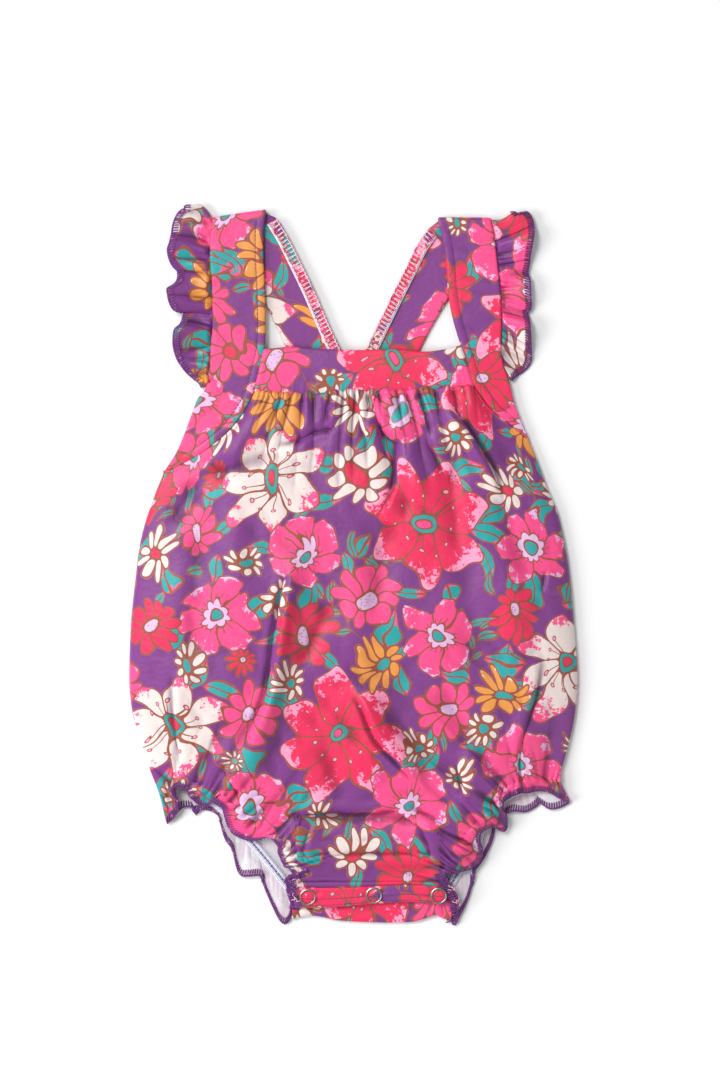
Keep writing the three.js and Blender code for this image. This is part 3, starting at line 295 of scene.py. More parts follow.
# Soft troughs: from and to [across, up], half width and rise
TROUGHS = [
    ((-46, 64), (-86, 50), 6, -1.6), ((-86, 50), (-108, 22), 6, -1.6), ((55, 66), (60, 6), 6, -1.4),
    ((-90, 16), (-97, -56), 8, -1.2), ((-14, -20), (-31, -60), 6, -1.2), ((20, 30), (8, -30), 9, -1.3),
    ((62, 10), (70, -60), 9, -1.2), ((84, 40), (100, -10), 6, -1.1), ((-31, -168), (50, -168), 2.6, -1.1),
    ((-20, -104), (-8, -136), 6, -1), ((50, -70), (66, -104), 7, -1.2), ((-70, 30), (-66, -20), 7, 1),
]
# Gathers under the bib: width along the seam, how far down the ridge runs, rise
BIB_GATHERS = [
    (8.4, 12, 0.6), (7, 20, 1.2), (5.3, 26, 1.6), (7, 18, 1.2), (6.4, 30, 1.7), (9.3, 16, 1),
    (7.6, 24, 1.5), (6.4, 34, 1.8), (7.6, 20, 1.2), (6.4, 38, 1.8), (10.5, 28, 1.6), (5.8, 18, 1.3),
    (7.3, 30, 1.7), (9.1, 22, 1.4), (11.1, 26, 1.5), (11.4, 14, 0.8),
]
# Gathers along each leg of the front, from the side seam: width, how far up they run, rise
LEG_GATHERS = [
    (10, 20, 0.9), (13, 34, 1.6), (9, 22, 1.2), (12, 40, 1.7), (15, 28, 1.4), (9, 20, 1.1), (13, 34, 1.6),
    (8, 16, 1), (7, 12, 0.8),
]


# Curves and surfaces


def ramp(f):
    """Eased step from 0 to 1."""
    f = np.clip(f, 0, 1)
    return f * f * (3 - 2 * f)


def within(share, start, end=None):
    """1 between 0 and 1, eased off to 0 over a share at the start and at the end."""
    return ramp(share / start) * ramp((1 - share) / (end or start))


def bell(off, power=2):
    """1 in the middle, falling off on both sides."""
    return np.exp(-(np.abs(off) ** power))


def sine(turns):
    return np.sin(2 * np.pi * turns)


def soft_edge(share, power):
    """1 inside a piece and 0 at its two edges, so that a wall ends round."""
    return np.sqrt(np.maximum(1 - np.abs(2 * share - 1) ** power, 0))


def shares(count):
    return np.linspace(0, 1, count + 1)


def close_to_edges(count):
    """Shares from 0 to 1 that lie closer near both ends."""
    s = shares(count)
    return 0.45 * s + 0.55 * (0.5 - 0.5 * np.cos(np.pi * s))


def unit(vectors):
    return vectors / np.maximum(np.linalg.norm(vectors, axis=-1, keepdims=True), 1e-9)


def distances(points):
    """How far along a line each of its points lies."""
    return np.r_[0, np.cumsum(np.linalg.norm(np.diff(points, axis=0), axis=1))]


def picked(places, far, points):
    """Rows of a table of points at places between its distances."""
    return np.stack([np.interp(places, far, points[:, k]) for k in range(points.shape[1])], axis=-1)


def shifted(points, dx, dy):
    return [[point[0] + dx, point[1] + dy, *point[2:]] for point in points]


def raised(points, height):
    return [[point[0], point[1], height] for point in points]


def through(points):
    """Smooth curve through points of any dimension, as a function of the share of its length."""
    p = np.asarray(points, float)
    knots = distances(p)
    order = np.arange(len(p))
    after, before = np.minimum(order + 1, len(p) - 1), np.maximum(order - 1, 0)
    slope = (p[after] - p[before]) / (knots[after] - knots[before])[:, None]

    def at(share):
        place = np.clip(np.atleast_1d(share), 0, 1) * knots[-1]
        i = np.clip(np.searchsorted(knots[1:], place), 0, len(p) - 2)
        span = (knots[i + 1] - knots[i])[:, None]
        f = (place - knots[i])[:, None] / span
        g = 1 - f
        return (p[i] * (1 + 2 * f) * g * g + p[i + 1] * f * f * (3 - 2 * f)
                + slope[i] * span * f * g * g - slope[i + 1] * span * f * f * g)

    return at


def joined(*parts):
    """(curve, columns) pairs end to end, as one function of the share of the columns."""
    ends = np.cumsum([columns for _, columns in parts])

    def at(share):
        column = np.atleast_1d(share) * ends[-1]
        which = np.clip(np.searchsorted(ends, column - 1e-9), 0, len(parts) - 1)
        found = [curve((column - (ends[k] - columns)) / columns) for k, (curve, columns) in enumerate(parts)]
        return np.stack(found)[which, np.arange(len(column))]

    return at


def in_step(curve, gathers):
    """A curve whose points keep in step with gathers of uneven widths."""
    widths = np.r_[0, np.cumsum([gather[0] for gather in gathers])]

    def at(share):
        place = np.atleast_1d(share) * len(gathers)
        return curve(np.interp(place, np.arange(len(widths)), widths) / widths[-1])

    return at


def beside(curve, distance):
    """A line a distance out to the left of a curve as it runs, seen from above."""

    def at(share):
        share = np.atleast_1d(share)
        here = curve(share).copy()
        run = unit((curve(np.minimum(share + 0.01, 1)) - curve(np.maximum(share - 0.01, 0)))[:, :2])
        here[:, 0] -= run[:, 1] * distance
        here[:, 1] += run[:, 0] * distance
        return here

    return at


def between(near, far, share):
    """Grid whose rows run from the points of one line to those of another."""
    return near[:, None] + (far - near)[:, None] * share[:, None]


def spanned(top, bottom, left, right, across, down):
    """Grid of points of the patch that four edge curves span. Rows run down, columns across."""
    u, v = across[None, :, None], down[:, None, None]
    over, under = top(across)[None, :, :2], bottom(across)[None, :, :2]
    first, last = left(down)[:, None, :2], right(down)[:, None, :2]
    return ((1 - v) * over + v * under + (1 - u) * first + u * last
            - (1 - u) * (1 - v) * over[:, :1] - u * (1 - v) * over[:, -1:]
            - (1 - u) * v * under[:, :1] - u * v * under[:, -1:])


def read(column, down):
    """A column of the front's profile, eased between its rows."""
    rows, values = np.array(PROFILE_DOWN), np.array(column)
    i = np.clip(np.searchsorted(rows[1:], down), 0, len(rows) - 2)
    return values[i] + (values[i + 1] - values[i]) * ramp((down - rows[i]) / (rows[i + 1] - rows[i]))


def seam_height(share):
    """Height of the bib seam at a share of the front's width."""
    return SEAM_ENDS + (SEAM_MIDDLE - SEAM_ENDS) * np.sqrt(np.sin(np.pi * share))


def normals(grid, upward=True):
    """Unit normals of a grid of points, all turned upward or all on the side of the first row's."""
    n = unit(np.cross(np.gradient(grid, axis=0), np.gradient(grid, axis=1)))
    if upward:
        return np.where(n[:, :, 2:] < 0, -n, n)
    return n if n[1, 1, 2] > 0 else -n


def fine_gathers(count, seed, length, rise):
    dice = random.Random(seed)
    return [(1, length * dice.uniform(0.35, 1.5), rise * dice.uniform(0.1, 1) ** 1.5) for _ in range(count)]


def gathered(gathers, share, distance, power, sharpness=0.7, uneven=0.0):
    """Rise of the gathers at shares of their length, a distance out from the seam: narrow troughs, round
    ridges. uneven crowds some of them together and makes them lean."""
    table = np.array(gathers)
    near = np.clip(distance / table[:, 1].mean(), 0, 2)
    swing = np.sin(2 * np.pi * 2.3 * share + 1.1) + 0.6 * sine(5.7 * share) * (0.4 + near)
    place = np.clip(share + uneven * swing * within(share, 0.1), 0, 1) * len(gathers)
    i = np.clip(np.floor(place).astype(int), 0, len(gathers) - 1)
    wave = (0.5 - 0.5 * np.cos(2 * np.pi * place)) ** sharpness
    return table[i, 2] * wave * bell(distance / table[i, 1], power)


def undulation(x, y, seed, size, count=7):
    """Soft unevenness of cloth that lies loose."""
    dice = random.Random(seed)
    total = np.zeros_like(x)
    for _ in range(count):
        way = dice.uniform(0, math.pi)
        pitch = size * dice.uniform(0.7, 1.6)
        phase = dice.uniform(0, 2 * math.pi)
        total += np.sin(2 * np.pi * (x * math.cos(way) + y * math.sin(way)) / pitch + phase)
    return total / count


def folded(folds, x, y):
    """Height that folds or creases add at places on the cloth."""
    total = np.zeros_like(x)
    for start, end, half, rise in folds:
        run = np.subtract(end, start).astype(float)
        long = np.hypot(*run)
        way = ((x - start[0]) * run[0] + (y - start[1]) * run[1]) / long
        off = ((x - start[0]) * run[1] - (y - start[1]) * run[0]) / long
        taper = ramp((way + half) / (3 * half)) * ramp((long + half - way) / (3 * half))
        total += rise * bell(off / half) * taper
    return total


def creased(x, y, steps=60, reach=40):
    """Rise of the sharp creases at places on the cloth, and how far the print there has slipped."""
    place = np.stack([x.ravel(), y.ravel()], axis=1)
    total, slide = np.zeros(len(place)), np.zeros((len(place), 2))
    for points, soft, steep, rise, slip in CREASES:
        line = through(points)(shares(steps))
        close = (place > line.min(axis=0) - reach) & (place < line.max(axis=0) + reach)
        close = np.nonzero(close.all(axis=1))[0]
        which = ((place[close, None] - line[None]) ** 2).sum(axis=2).argmin(axis=1)
        gap, run = place[close] - line[which], unit(np.gradient(line, axis=0))[which]
        left = np.stack([-run[:, 1], run[:, 0]], axis=1)
        off, past = (gap * left).sum(axis=1), (gap * run).sum(axis=1)
        taper = within(which / steps, 0.3) * bell(past / soft)
        profile = np.where(off > 0, bell(off / soft, 1.6), bell(off / steep))
        foot = 0.45 * bell((off + 2.2 * steep) / (1.6 * steep))
        total[close] += 1.45 * rise * taper * (profile - foot)
        hidden = slip * taper * ramp(-off / steep) * np.exp(np.minimum(off, 0) / 25)
        slide[close] -= left * hidden[:, None]
    return total.reshape(x.shape), slide.reshape(*x.shape, 2)


def lengths(grid):
    """How far along its row, and down its column, each point of a grid lies on the cloth."""
    along = np.linalg.norm(np.diff(grid, axis=1), axis=2)
    down = np.linalg.norm(np.diff(grid, axis=0), axis=2)
    return (np.concatenate([np.zeros((len(grid), 1)), np.cumsum(along, axis=1)], axis=1),
            np.concatenate([np.zeros((1, grid.shape[1])), np.cumsum(down, axis=0)], axis=0))


def smoothed(grid, reach):
    """A grid of points, each moved to the mean of the points up to a distance around it."""
    for axis in (0, 1):
        pitch = np.linalg.norm(np.diff(grid, axis=axis), axis=2).mean()
        count = int(np.clip(round(reach / pitch), 1, (grid.shape[axis] - 1) // 2))
        padding = [(0, 0), (0, 0), (0, 0)]
        padding[axis] = (count + 1, count)
        total = np.cumsum(np.pad(grid, padding, mode="edge"), axis=axis)
        high = np.take(total, range(2 * count + 1, total.shape[axis]), axis=axis)
        low = np.take(total, range(total.shape[axis] - 2 * count - 1), axis=axis)
        grid = (high - low) / (2 * count + 1)
    return grid


def nearest(line, grid, reach):
    """Share of a line's points at which each point of a grid is nearest to it from above, and how far off."""
    flat = grid[:, :, :2].reshape(-1, 2)
    close = np.nonzero(((flat > line.min(axis=0) - reach) & (flat < line.max(axis=0) + reach)).all(axis=1))[0]
    gaps = ((flat[close, None] - line[None]) ** 2).sum(axis=2)
    which = gaps.argmin(axis=1)
    run = np.gradient(line, axis=0)[which]
    past = ((flat[close] - line[which]) * run).sum(axis=1) / (run ** 2).sum(axis=1)
    share, far = np.full(len(flat), 2.0), np.full(len(flat), 1e3)
    share[close] = np.clip((which + np.clip(past, -0.5, 0.5)) / (len(line) - 1), 0, 1)
    far[close] = np.sqrt(gaps.min(axis=1))
    return share.reshape(grid.shape[:2]), far.reshape(grid.shape[:2])


def hollows(grid, way):
    """How deep each point of a grid lies in a crease, from 0 to 1."""
    small, large = (((smoothed(grid, reach) - grid) * way).sum(axis=2) for reach in (2.2, 5.5))
    return 1 - np.exp(-np.maximum(small + 0.6 * large, 0) / 0.55)


def lowest(heights):
    """The lowest of the heights around each point of a grid."""
    for axis in (0, 1):
        heights = np.min([np.roll(heights, k, axis) for k in range(-FINER, FINER + 1)], axis=0)
    return heights


# Meshes


def piece(name, points, faces, materials, replaced=None):
    """A piece of the romper from points in millimetres."""
    mesh = bpy.data.meshes.new(name)
    mesh.from_pydata((points * MM).tolist(), [], faces)
    mesh.update()
    mesh.polygons.foreach_set("use_smooth", np.ones(len(faces), dtype=bool))
    for made in materials:
        mesh.materials.append(made)
    obj = bpy.data.objects.new(name, mesh)
    bpy.context.scene.collection.objects.link(obj)
    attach(obj, "root")
    if replaced:
        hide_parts(replaced)
    return obj


def grid_faces(rows, columns, first, flip):
    i = np.arange(rows - 1)[:, None] * columns + np.arange(columns - 1)[None, :] + first
    quads = np.stack([i, i + 1, i + columns + 1, i + columns], axis=-1).reshape(-1, 4)
    return (quads[:, ::-1] if flip else quads).tolist()


def border(rows, columns):
    """Indices of a grid's rim as four sides, end to end."""
    i = np.arange(rows * columns).reshape(rows, columns)
    return [i[0], i[:, -1], i[-1, ::-1], i[::-1, 0]]


def cloth(node, outer, inner, uv, cut=None, inside=None, step=1):
    """A closed wall of cloth in a node's place, from its outer grid and a coarser inner grid, every
    step-th point of it. uv holds each outer point's place on the uncut cloth, in millimetres, and cut is
    where on the print it is cut. The rim is closed with faces of several corners. Outer faces take the
    first material and inner ones the second."""
    rows, columns = outer.shape[:2]
    way = unit(outer - inner)
    hollow = np.concatenate([hollows(outer, way).ravel(), hollows(inner, -way)[::step, ::step].ravel()])
    inner = inner[::step, ::step]
    first = rows * columns
    up = np.cross(outer[1, 0] - outer[0, 0], outer[0, 1] - outer[0, 0])
    flip = np.dot(up, outer[0, 0] - inner[0, 0]) > 0
    over, under = grid_faces(rows, columns, 0, not flip), grid_faces(*inner.shape[:2], first, flip)
    faces = over + under
    for near, far in zip(border(rows, columns), border(*inner.shape[:2])):
        for k in range(len(far) - 1):
            rim = [*near[k * step:(k + 1) * step + 1], far[k + 1] + first, far[k] + first]
            faces.append([int(i) for i in (rim[::-1] if flip else rim)])
    materials = (PRINTED, inside or PRINTED) if cut else (inside,)
    points = np.concatenate([outer.reshape(-1, 3), inner.reshape(-1, 3)])
    obj = piece(node + "_cloth", points, faces, materials, node)
    mesh = obj.data
    slots = np.zeros(len(faces), dtype=np.int32)
    slots[len(over):len(over) + len(under)] = 1
    mesh.polygons.foreach_set("material_index", slots)
    corner = np.empty(len(mesh.loops), dtype=np.int32)
    mesh.loops.foreach_get("vertex_index", corner)
    places = np.concatenate([uv.reshape(-1, 2), uv[::step, ::step].reshape(-1, 2)])
    mesh.uv_layers.new(name="cloth").uv.foreach_set("vector", places[corner].astype(np.float32).ravel())
    # How deep each point lies in a crease, by which the cloth's materials paint shade into its colour
    mesh.attributes.new("hollow", "FLOAT", "POINT").data.foreach_set("value", hollow.astype(np.float32))
    if cut:
        print_on(mesh, cut)
    return obj


def tubes(name, lines, radius, material, sides=5):
    """Many short threads as one mesh. Each line is a list of points, all lines with as many points."""
    p = np.array(lines, float)
    p[:, :, 2] = np.maximum(p[:, :, 2], radius)
    run = unit(np.gradient(p, axis=1))
    a = unit(np.cross(run, np.where(np.abs(run[:, :, 2:]) < 0.9, [0.0, 0.0, 1.0], [1.0, 0.0, 0.0])))
    b = np.cross(run, a)
    turn = 2 * np.pi * np.arange(sides)[:, None] / sides
    rings = p[:, :, None] + radius * (np.cos(turn) * a[:, :, None] + np.sin(turn) * b[:, :, None])
    i = np.arange(rings.size // 3).reshape(rings.shape[:3])
    j = np.roll(i, -1, axis=2)
    quads = np.stack([i[:, :-1], j[:, :-1], j[:, 1:], i[:, 1:]], axis=-1).reshape(-1, 4)
    caps = i[:, 0].tolist() + i[:, -1, ::-1].tolist()
    piece(name, rings.reshape(-1, 3), quads.tolist() + caps, (material,))


# Node trees


class Value:
    """An output of a node, with which sums can be written out."""

    def __init__(self, tree, socket):
        self.tree = tree
        self.socket = socket

    def to(self, operation, *others):
        return self.tree.math(operation, self, *others)

    def __add__(self, other):
        return self.to("ADD", other)

    def __sub__(self, other):
        return self.to("SUBTRACT", other)

    def __rsub__(self, other):
        return self.tree.math("SUBTRACT", other, self)

    def __mul__(self, other):
        return self.to("MULTIPLY", other)

    def __truediv__(self, other):
        return self.to("DIVIDE", other)

    def __rtruediv__(self, other):
        return self.tree.math("DIVIDE", other, self)

    def __pow__(self, other):
        return self.to("POWER", other)

    def __abs__(self):
        return self.to("ABSOLUTE")

    __radd__ = __add__
    __rmul__ = __mul__

    def at_least(self, other):
        return self.to("MAXIMUM", other)

    def parts(self):
        made = self.tree.node("ShaderNodeSeparateXYZ", {"Vector": self})
        return made["X"], made["Y"], made["Z"]

    def step(self, width):
        """0 below zero and 1 above it, over a width."""
        inputs = {"Value": self, "From Min": -width / 2, "From Max": width / 2}
        return self.tree.node("ShaderNodeMapRange", inputs, interpolation_type="SMOOTHSTEP")["Result"]


class Tree:
    """Short forms for building a node tree."""

    def __init__(self, tree):
        self.tree = tree

    def node(self, kind, inputs=None, **settings):
        """Adds a node and returns its outputs, by name and by number."""
        made = self.tree.nodes.new(kind)
        for key, value in settings.items():
            setattr(made, key, value)
        self.feed(made, inputs or {})
        outputs = [Value(self, socket) for socket in made.outputs]
        return {**{output.socket.name: output for output in outputs}, **dict(enumerate(outputs))}

    def feed(self, made, inputs):
        for key, value in inputs.items():
            if isinstance(value, Value):
                self.tree.links.new(value.socket, made.inputs[key])
            else:
                made.inputs[key].default_value = value

    def math(self, operation, *values):
        return self.node("ShaderNodeMath", dict(enumerate(values)), operation=operation)["Value"]

    def mix(self, share, a, b, blend="MIX"):
        return self.node("ShaderNodeMix", {0: share, 6: a, 7: b}, data_type="RGBA", blend_type=blend)[2]

    def noise(self, place, scale, detail, **more):
        return self.node("ShaderNodeTexNoise", {"Vector": place, "Scale": scale, "Detail": detail, **more})

    def bump(self, height, strength, distance):
        inputs = {"Height": height, "Strength": strength, "Distance": distance}
        return self.node("ShaderNodeBump", inputs)["Normal"]

    def table(self, share, colours):
        """The colour of the row that share falls in."""
        socket = self.node("ShaderNodeValToRGB", {"Fac": share})["Color"]
        steps = socket.socket.node.color_ramp
        steps.interpolation = "CONSTANT"
        while len(steps.elements) < len(colours):
            steps.elements.new(1.0)
        for k, colour in enumerate(colours):
            steps.elements[k].position = k / len(colours)
            steps.elements[k].color = colour
        return socket


def node_group(name, given, gives):
    group = bpy.data.node_groups.new(name, "ShaderNodeTree")
    for sockets, way in ((given, "INPUT"), (gives, "OUTPUT")):
        for socket, kind in sockets.items():
            group.interface.new_socket(name=socket, in_out=way, socket_type="NodeSocket" + kind)
    return Tree(group)


def rgb(code):
    """Linear colour of a six-digit display colour."""
    values = [int(code[k:k + 2], 16) / 255 for k in (0, 2, 4)]
    return (*[v / 12.92 if v <= 0.04045 else ((v + 0.055) / 1.055) ** 2.4 for v in values], 1.0)


# The print

PURPLE = rgb("7C3A82")
HOT_PINK = rgb("F24C88")
RED_PINK = rgb("E62E5A")
TEAL = rgb("289EA0")
ORANGE = rgb("E2954A")
CREAM = rgb("E4D4D0")
LILAC = rgb("DDB4DA")
BLUSH = rgb("FA9CC0")
OUTLINE = rgb("98503C")
LINE = 1.05  # width of the print's outlines
LAYERS = 7  # motifs that may lie over each other at a place
PARTS = ("First", "Second", "Third")  # what a motif is told, three numbers at a time
CLOTH_SIZE = 760.0

# The flowers and leaves of the print: petals, half length and half width of a petal as shares of the
# radius, bluntness (2 is an ellipse, less is pointed), petal and tip colour, where the tips' dabs begin,
# share of the centre, its scallops, its colour and the colour of its heart, depth of the petals' lobes,
# number of stamens, how far out they reach and the radius of their knobs
PLAIN = (0.0, 0, 0.0, 0.0)
NO_CENTRE = (0.0, 0.0, TEAL, TEAL, *PLAIN)
MOTIFS = {
    "bloom": (7, 0.43, 0.27, 1.7, RED_PINK, BLUSH, 0.78, 0.15, 0.0, TEAL, HOT_PINK, 0.0, 11, 0.42, 1.1),
    "blossom": (6, 0.44, 0.38, 2.4, HOT_PINK, LILAC, 0.90, 0.32, 0.16, LILAC, TEAL, 0.07, 20, 0.46, 0.0),
    "cream_bloom": (7, 0.43, 0.25, 1.7, CREAM, HOT_PINK, 0.80, 0.17, 0.0, TEAL, RED_PINK, 0.0, 11, 0.44, 1.1),
    "cosmos": (9, 0.39, 0.25, 2.6, HOT_PINK, BLUSH, 1.05, 0.24, 0.0, LILAC, LILAC, *PLAIN),
    "pink_daisy": (8, 0.38, 0.28, 2.6, HOT_PINK, HOT_PINK, 1.3, 0.22, 0.0, RED_PINK, RED_PINK, *PLAIN),
    "red_daisy": (10, 0.38, 0.22, 2.4, RED_PINK, RED_PINK, 1.05, 0.24, 0.0, LILAC, LILAC, *PLAIN),
    "white_daisy": (9, 0.38, 0.21, 2.3, CREAM, CREAM, 1.3, 0.24, 0.0, RED_PINK, RED_PINK, *PLAIN),
    "orange_daisy": (10, 0.39, 0.20, 2.2, ORANGE, CREAM, 1.0, 0.24, 0.0, TEAL, TEAL, *PLAIN),
    "small_daisy": (9, 0.36, 0.22, 2.3, CREAM, CREAM, 1.3, 0.28, 0.0, TEAL, TEAL, *PLAIN),
    "leaf": (1, 1.00, 0.52, 1.55, TEAL, HOT_PINK, 0.66, *NO_CENTRE),
    "bud": (1, 1.00, 0.56, 1.6, TEAL, TEAL, 1.3, *NO_CENTRE),
    "stem": (1, 1.00, 0.035, 2.0, OUTLINE, OUTLINE, 1.3, *NO_CENTRE),
}
KINDS = list(MOTIFS)
# Kinds in the order in which they are laid out: smallest and largest radius, how close they may come
# to others and to their own row's, as shares of both radii, and how many tries
LAYOUT = [
    (("bloom", "cream_bloom", "bloom", "bloom"), 32, 40, 0.9, 1.28, 1200),
    (("blossom",), 22, 27, 0.82, 1.32, 2000),
    (("pink_daisy", "white_daisy", "orange_daisy", "cosmos", "red_daisy", "orange_daisy", "white_daisy",
      "red_daisy"), 15, 21, 0.82, 0.92, 7000),
    (("small_daisy", "small_daisy", "red_daisy"), 8, 11, 0.88, 1.1, 5000),
    (("bud",), 5, 7, 1.0, 1.6, 4000),
]


def motif_group():
    """Draws one motif of the print over a colour. First is its centre and radius, Second its turn,
    petals and kind, Third a petal's half length, half width and bluntness. Cycles works the nodes out in
    the order in which they are made, and has room for few values at a time, so the order matters."""
    t = node_group("motif", {"Under": "Color", "Place": "Vector", "Dabs": "Float", "Dots": "Float",
                             "First": "Vector", "Second": "Vector", "Third": "Vector"}, {"Color": "Color"})
    given = t.node("NodeGroupInput")
    place_x, place_y, _ = given["Place"].parts()
    centre_x, centre_y, radius = given["First"].parts()
    turn, petals, kind = given["Second"].parts()
    half_length, half_width, bluntness = given["Third"].parts()
    kind = (kind + 0.5) / len(KINDS)

    def colour_of(column):
        return t.table(kind, [row[column] for row in MOTIFS.values()])

    def number_of(column, scale=1):
        """A table's numbers go no higher than 1, so higher ones are scaled down."""
        return t.table(kind, [(row[column] / scale,) * 3 + (1,) for row in MOTIFS.values()])

    dx, dy = place_x - centre_x, place_y - centre_y
    r = (dx * dx + dy * dy).to("SQRT") / radius.at_least(0.01)
    angle = dy.to("ARCTAN2", dx) - turn
    sector = math.pi / petals.at_least(1)
    off = angle.to("WRAP", sector, sector * -1)
    x = r * off.to("COSINE")
    y = abs(r * off.to("SINE"))
    # Distance inside the petal's outline, which is a stretched circle with its own bluntness
    from_middle = x - (1 - half_length)
    px = abs(from_middle) / half_length
    py = y / half_width
    reach = (px ** bluntness + py ** bluntness) ** (1 / bluntness)
    turned = y.to("ARCTAN2", from_middle)
    lobed = (1 - (turned * 7).to("COSINE")) * (1.5 - turned).step(0.3)
    reach = reach * (1 + lobed * number_of(11))
    gx = px / half_length
    gy = py / half_width
    slope = (gx * gx + gy * gy).to("SQRT") / reach.at_least(0.1)
    inside = (1 - reach) * radius / slope.at_least(0.5)
    # Distance from the line between two petals, which is a leaf's midrib
    between_petals = sector.to("SINE") * x - sector.to("COSINE") * y
    edge = inside.to("MINIMUM", between_petals * radius + LINE / 2)
    filled = inside.step(0.2)
    lined = (LINE / 2 - abs(edge - LINE / 2)).step(0.25)
    petal, tip = colour_of(4), colour_of(5)
    dabbed = (r - number_of(6, 2) * 2) * 2.2 + (given["Dabs"] - 0.5) * 3.4
    colour = t.mix(dabbed.step(0.12), petal, tip)
    # Stamens of the larger flowers, some of them with knobs
    stamens, ends, knob = number_of(12, 40) * 20, number_of(13), number_of(14, 2) * 2
    aside = abs(((angle + 0.15) * stamens).to("SINE")) * (r * radius) / stamens.at_least(0.5)
    short = (ends - r) * radius
    away = (aside * aside + short * short).to("SQRT")
    has_knob = (knob - 0.5).step(0.1)
    drawn = (0.28 - aside).step(0.2) * (short - knob).step(0.2)
    drawn = drawn.at_least((0.3 - abs(away - knob)).step(0.2) * has_knob)
    colour = t.mix((knob - away).step(0.2) * has_knob, colour, BLUSH)
    colour = t.mix(lined.at_least(drawn), colour, OUTLINE)
    result = t.mix(filled, given["Under"], colour)
    # The centre, its scallops and its dotted heart
    centre, scallops = number_of(7), number_of(8)
    wave = abs((angle * 4).to("COSINE")) * 2 - 1
    in_centre = (centre * (1 + scallops * wave) - r) * radius
    heart = (centre * 0.5 - r) * radius
    middle, dot = colour_of(9), colour_of(10)
    disc = t.mix(heart.step(0.2), middle, dot)
    near_heart, near_rim = ((LINE / 2 - abs(value)).step(0.2) for value in (heart, in_centre))
    big = (radius - 22).step(1)
    plain = big * (0.6 - heart).step(0.1)
    disc = t.mix(given["Dots"] * (in_centre - 0.5).step(0.2) * (1 - plain), disc, OUTLINE)
    disc = t.mix(near_heart * big, disc, OUTLINE)
    has_centre = (centre - 0.05).step(0.01)
    result = t.mix(in_centre.step(0.2) * has_centre, result, disc)
    result = t.mix(near_rim * has_centre, result, OUTLINE)
    t.node("NodeGroupOutput", {"Color": result})
    return t.tree


def print_group(motif):
    """The whole print: the ground with the motifs of each layer over it."""
    t = node_group("print", {}, {"Color": "Color", "Place": "Vector"})
    uv = t.node("ShaderNodeUVMap", uv_map="cloth")["UV"]
    wobble = t.noise(uv, 0.06, 0.0)["Color"]
    shift = t.node("ShaderNodeVectorMath", {0: wobble, 1: (0.5, 0.5, 0.5)}, operation="SUBTRACT")[0]
    moved = {0: shift, 1: (14.0, 14.0, 0.0), 2: uv}
    place = t.node("ShaderNodeVectorMath", moved, operation="MULTIPLY_ADD")[0]
    dabs = t.noise(uv, 0.22, 6.0, Roughness=0.72)["Fac"]
    cells = t.node("ShaderNodeTexVoronoi", {"Vector": uv, "Scale": 0.72, "Randomness": 0.7})["Distance"]
    shared = {"Place": place, "Dabs": dabs, "Dots": (0.27 - cells).step(0.08)}
    colour = PURPLE
    for layer in reversed(range(LAYERS)):
        colour = t.node("ShaderNodeGroup", {"Under": colour, **shared}, node_tree=motif)["Color"]
        for part in PARTS:
            row = t.node("ShaderNodeAttribute", attribute_name=f"{part}_{layer}")["Vector"]
            t.feed(colour.socket.node, {part: row})
    t.node("NodeGroupOutput", {"Color": colour, "Place": uv})
    return t.tree


def lay_out():
    """Scatters the motifs over the cloth. Returns rows of x, y, radius, turn and kind, the top ones first."""
    dice = random.Random(11)
    leaf, bud, stalk = (KINDS.index(name) for name in ("leaf", "bud", "stem"))
    placed = np.zeros((0, 5))
    for kinds, low, high, to_others, to_own, tries in LAYOUT:
        others = len(placed)
        for _ in range(tries):
            x, y, radius = dice.uniform(0, CLOTH_SIZE), dice.uniform(0, CLOTH_SIZE), dice.uniform(low, high)
            kind, turn = KINDS.index(dice.choice(kinds)), dice.uniform(0, 2 * math.pi)
            room = np.hypot(placed[:, 0] - x, placed[:, 1] - y) / (placed[:, 2] + radius)
            if (room[:others] > to_others).all() and (room[others:] > to_own).all():
                placed = np.vstack([placed, (x, y, radius, turn, kind)])
    flowers = placed[placed[:, 4] != bud]
    leaves, stems = [], []

    def out_from(x, y, far, way):
        return x + far * math.cos(way), y + far * math.sin(way)

    for x, y, radius, turn, _ in flowers:
        if radius < 12:
            continue
        way = dice.uniform(0, 2 * math.pi)
        for _ in range(2 if radius < 22 else 3):
            way += dice.uniform(1.2, 2.4)
            half = dice.uniform(8, 11) if radius < 22 else dice.uniform(9, 13)
            middle = out_from(x, y, radius * 0.9 + half * 0.5, way)
            leaves.append((*middle, half, way + dice.uniform(-0.6, 0.6), leaf))
        if dice.random() < 0.4:
            # A sprig that grows out from behind the flower
            way += dice.uniform(0.9, 1.6)
            stem = dice.uniform(14, 18)
            bend = way + dice.uniform(-0.4, 0.4)
            start = out_from(x, y, radius * 0.9, way)
            stems.append((*out_from(*start, stem, bend), stem, bend, stalk))
            for k, turned in ((0.55, 0.8), (0.9, -0.8), (1.3, 0.75), (1.6, -0.7), (2.0, 0.0)):
                half = dice.uniform(5.0, 7.0)
                foot = out_from(*start, k * stem, bend)
                leaves.append((*out_from(*foot, half, bend + turned), half, bend + turned, leaf))
    flowers = flowers[np.argsort(flowers[:, 2])]
    return np.vstack([flowers, placed[placed[:, 4] == bud], leaves, stems])


LAYOUT_ROWS = lay_out()


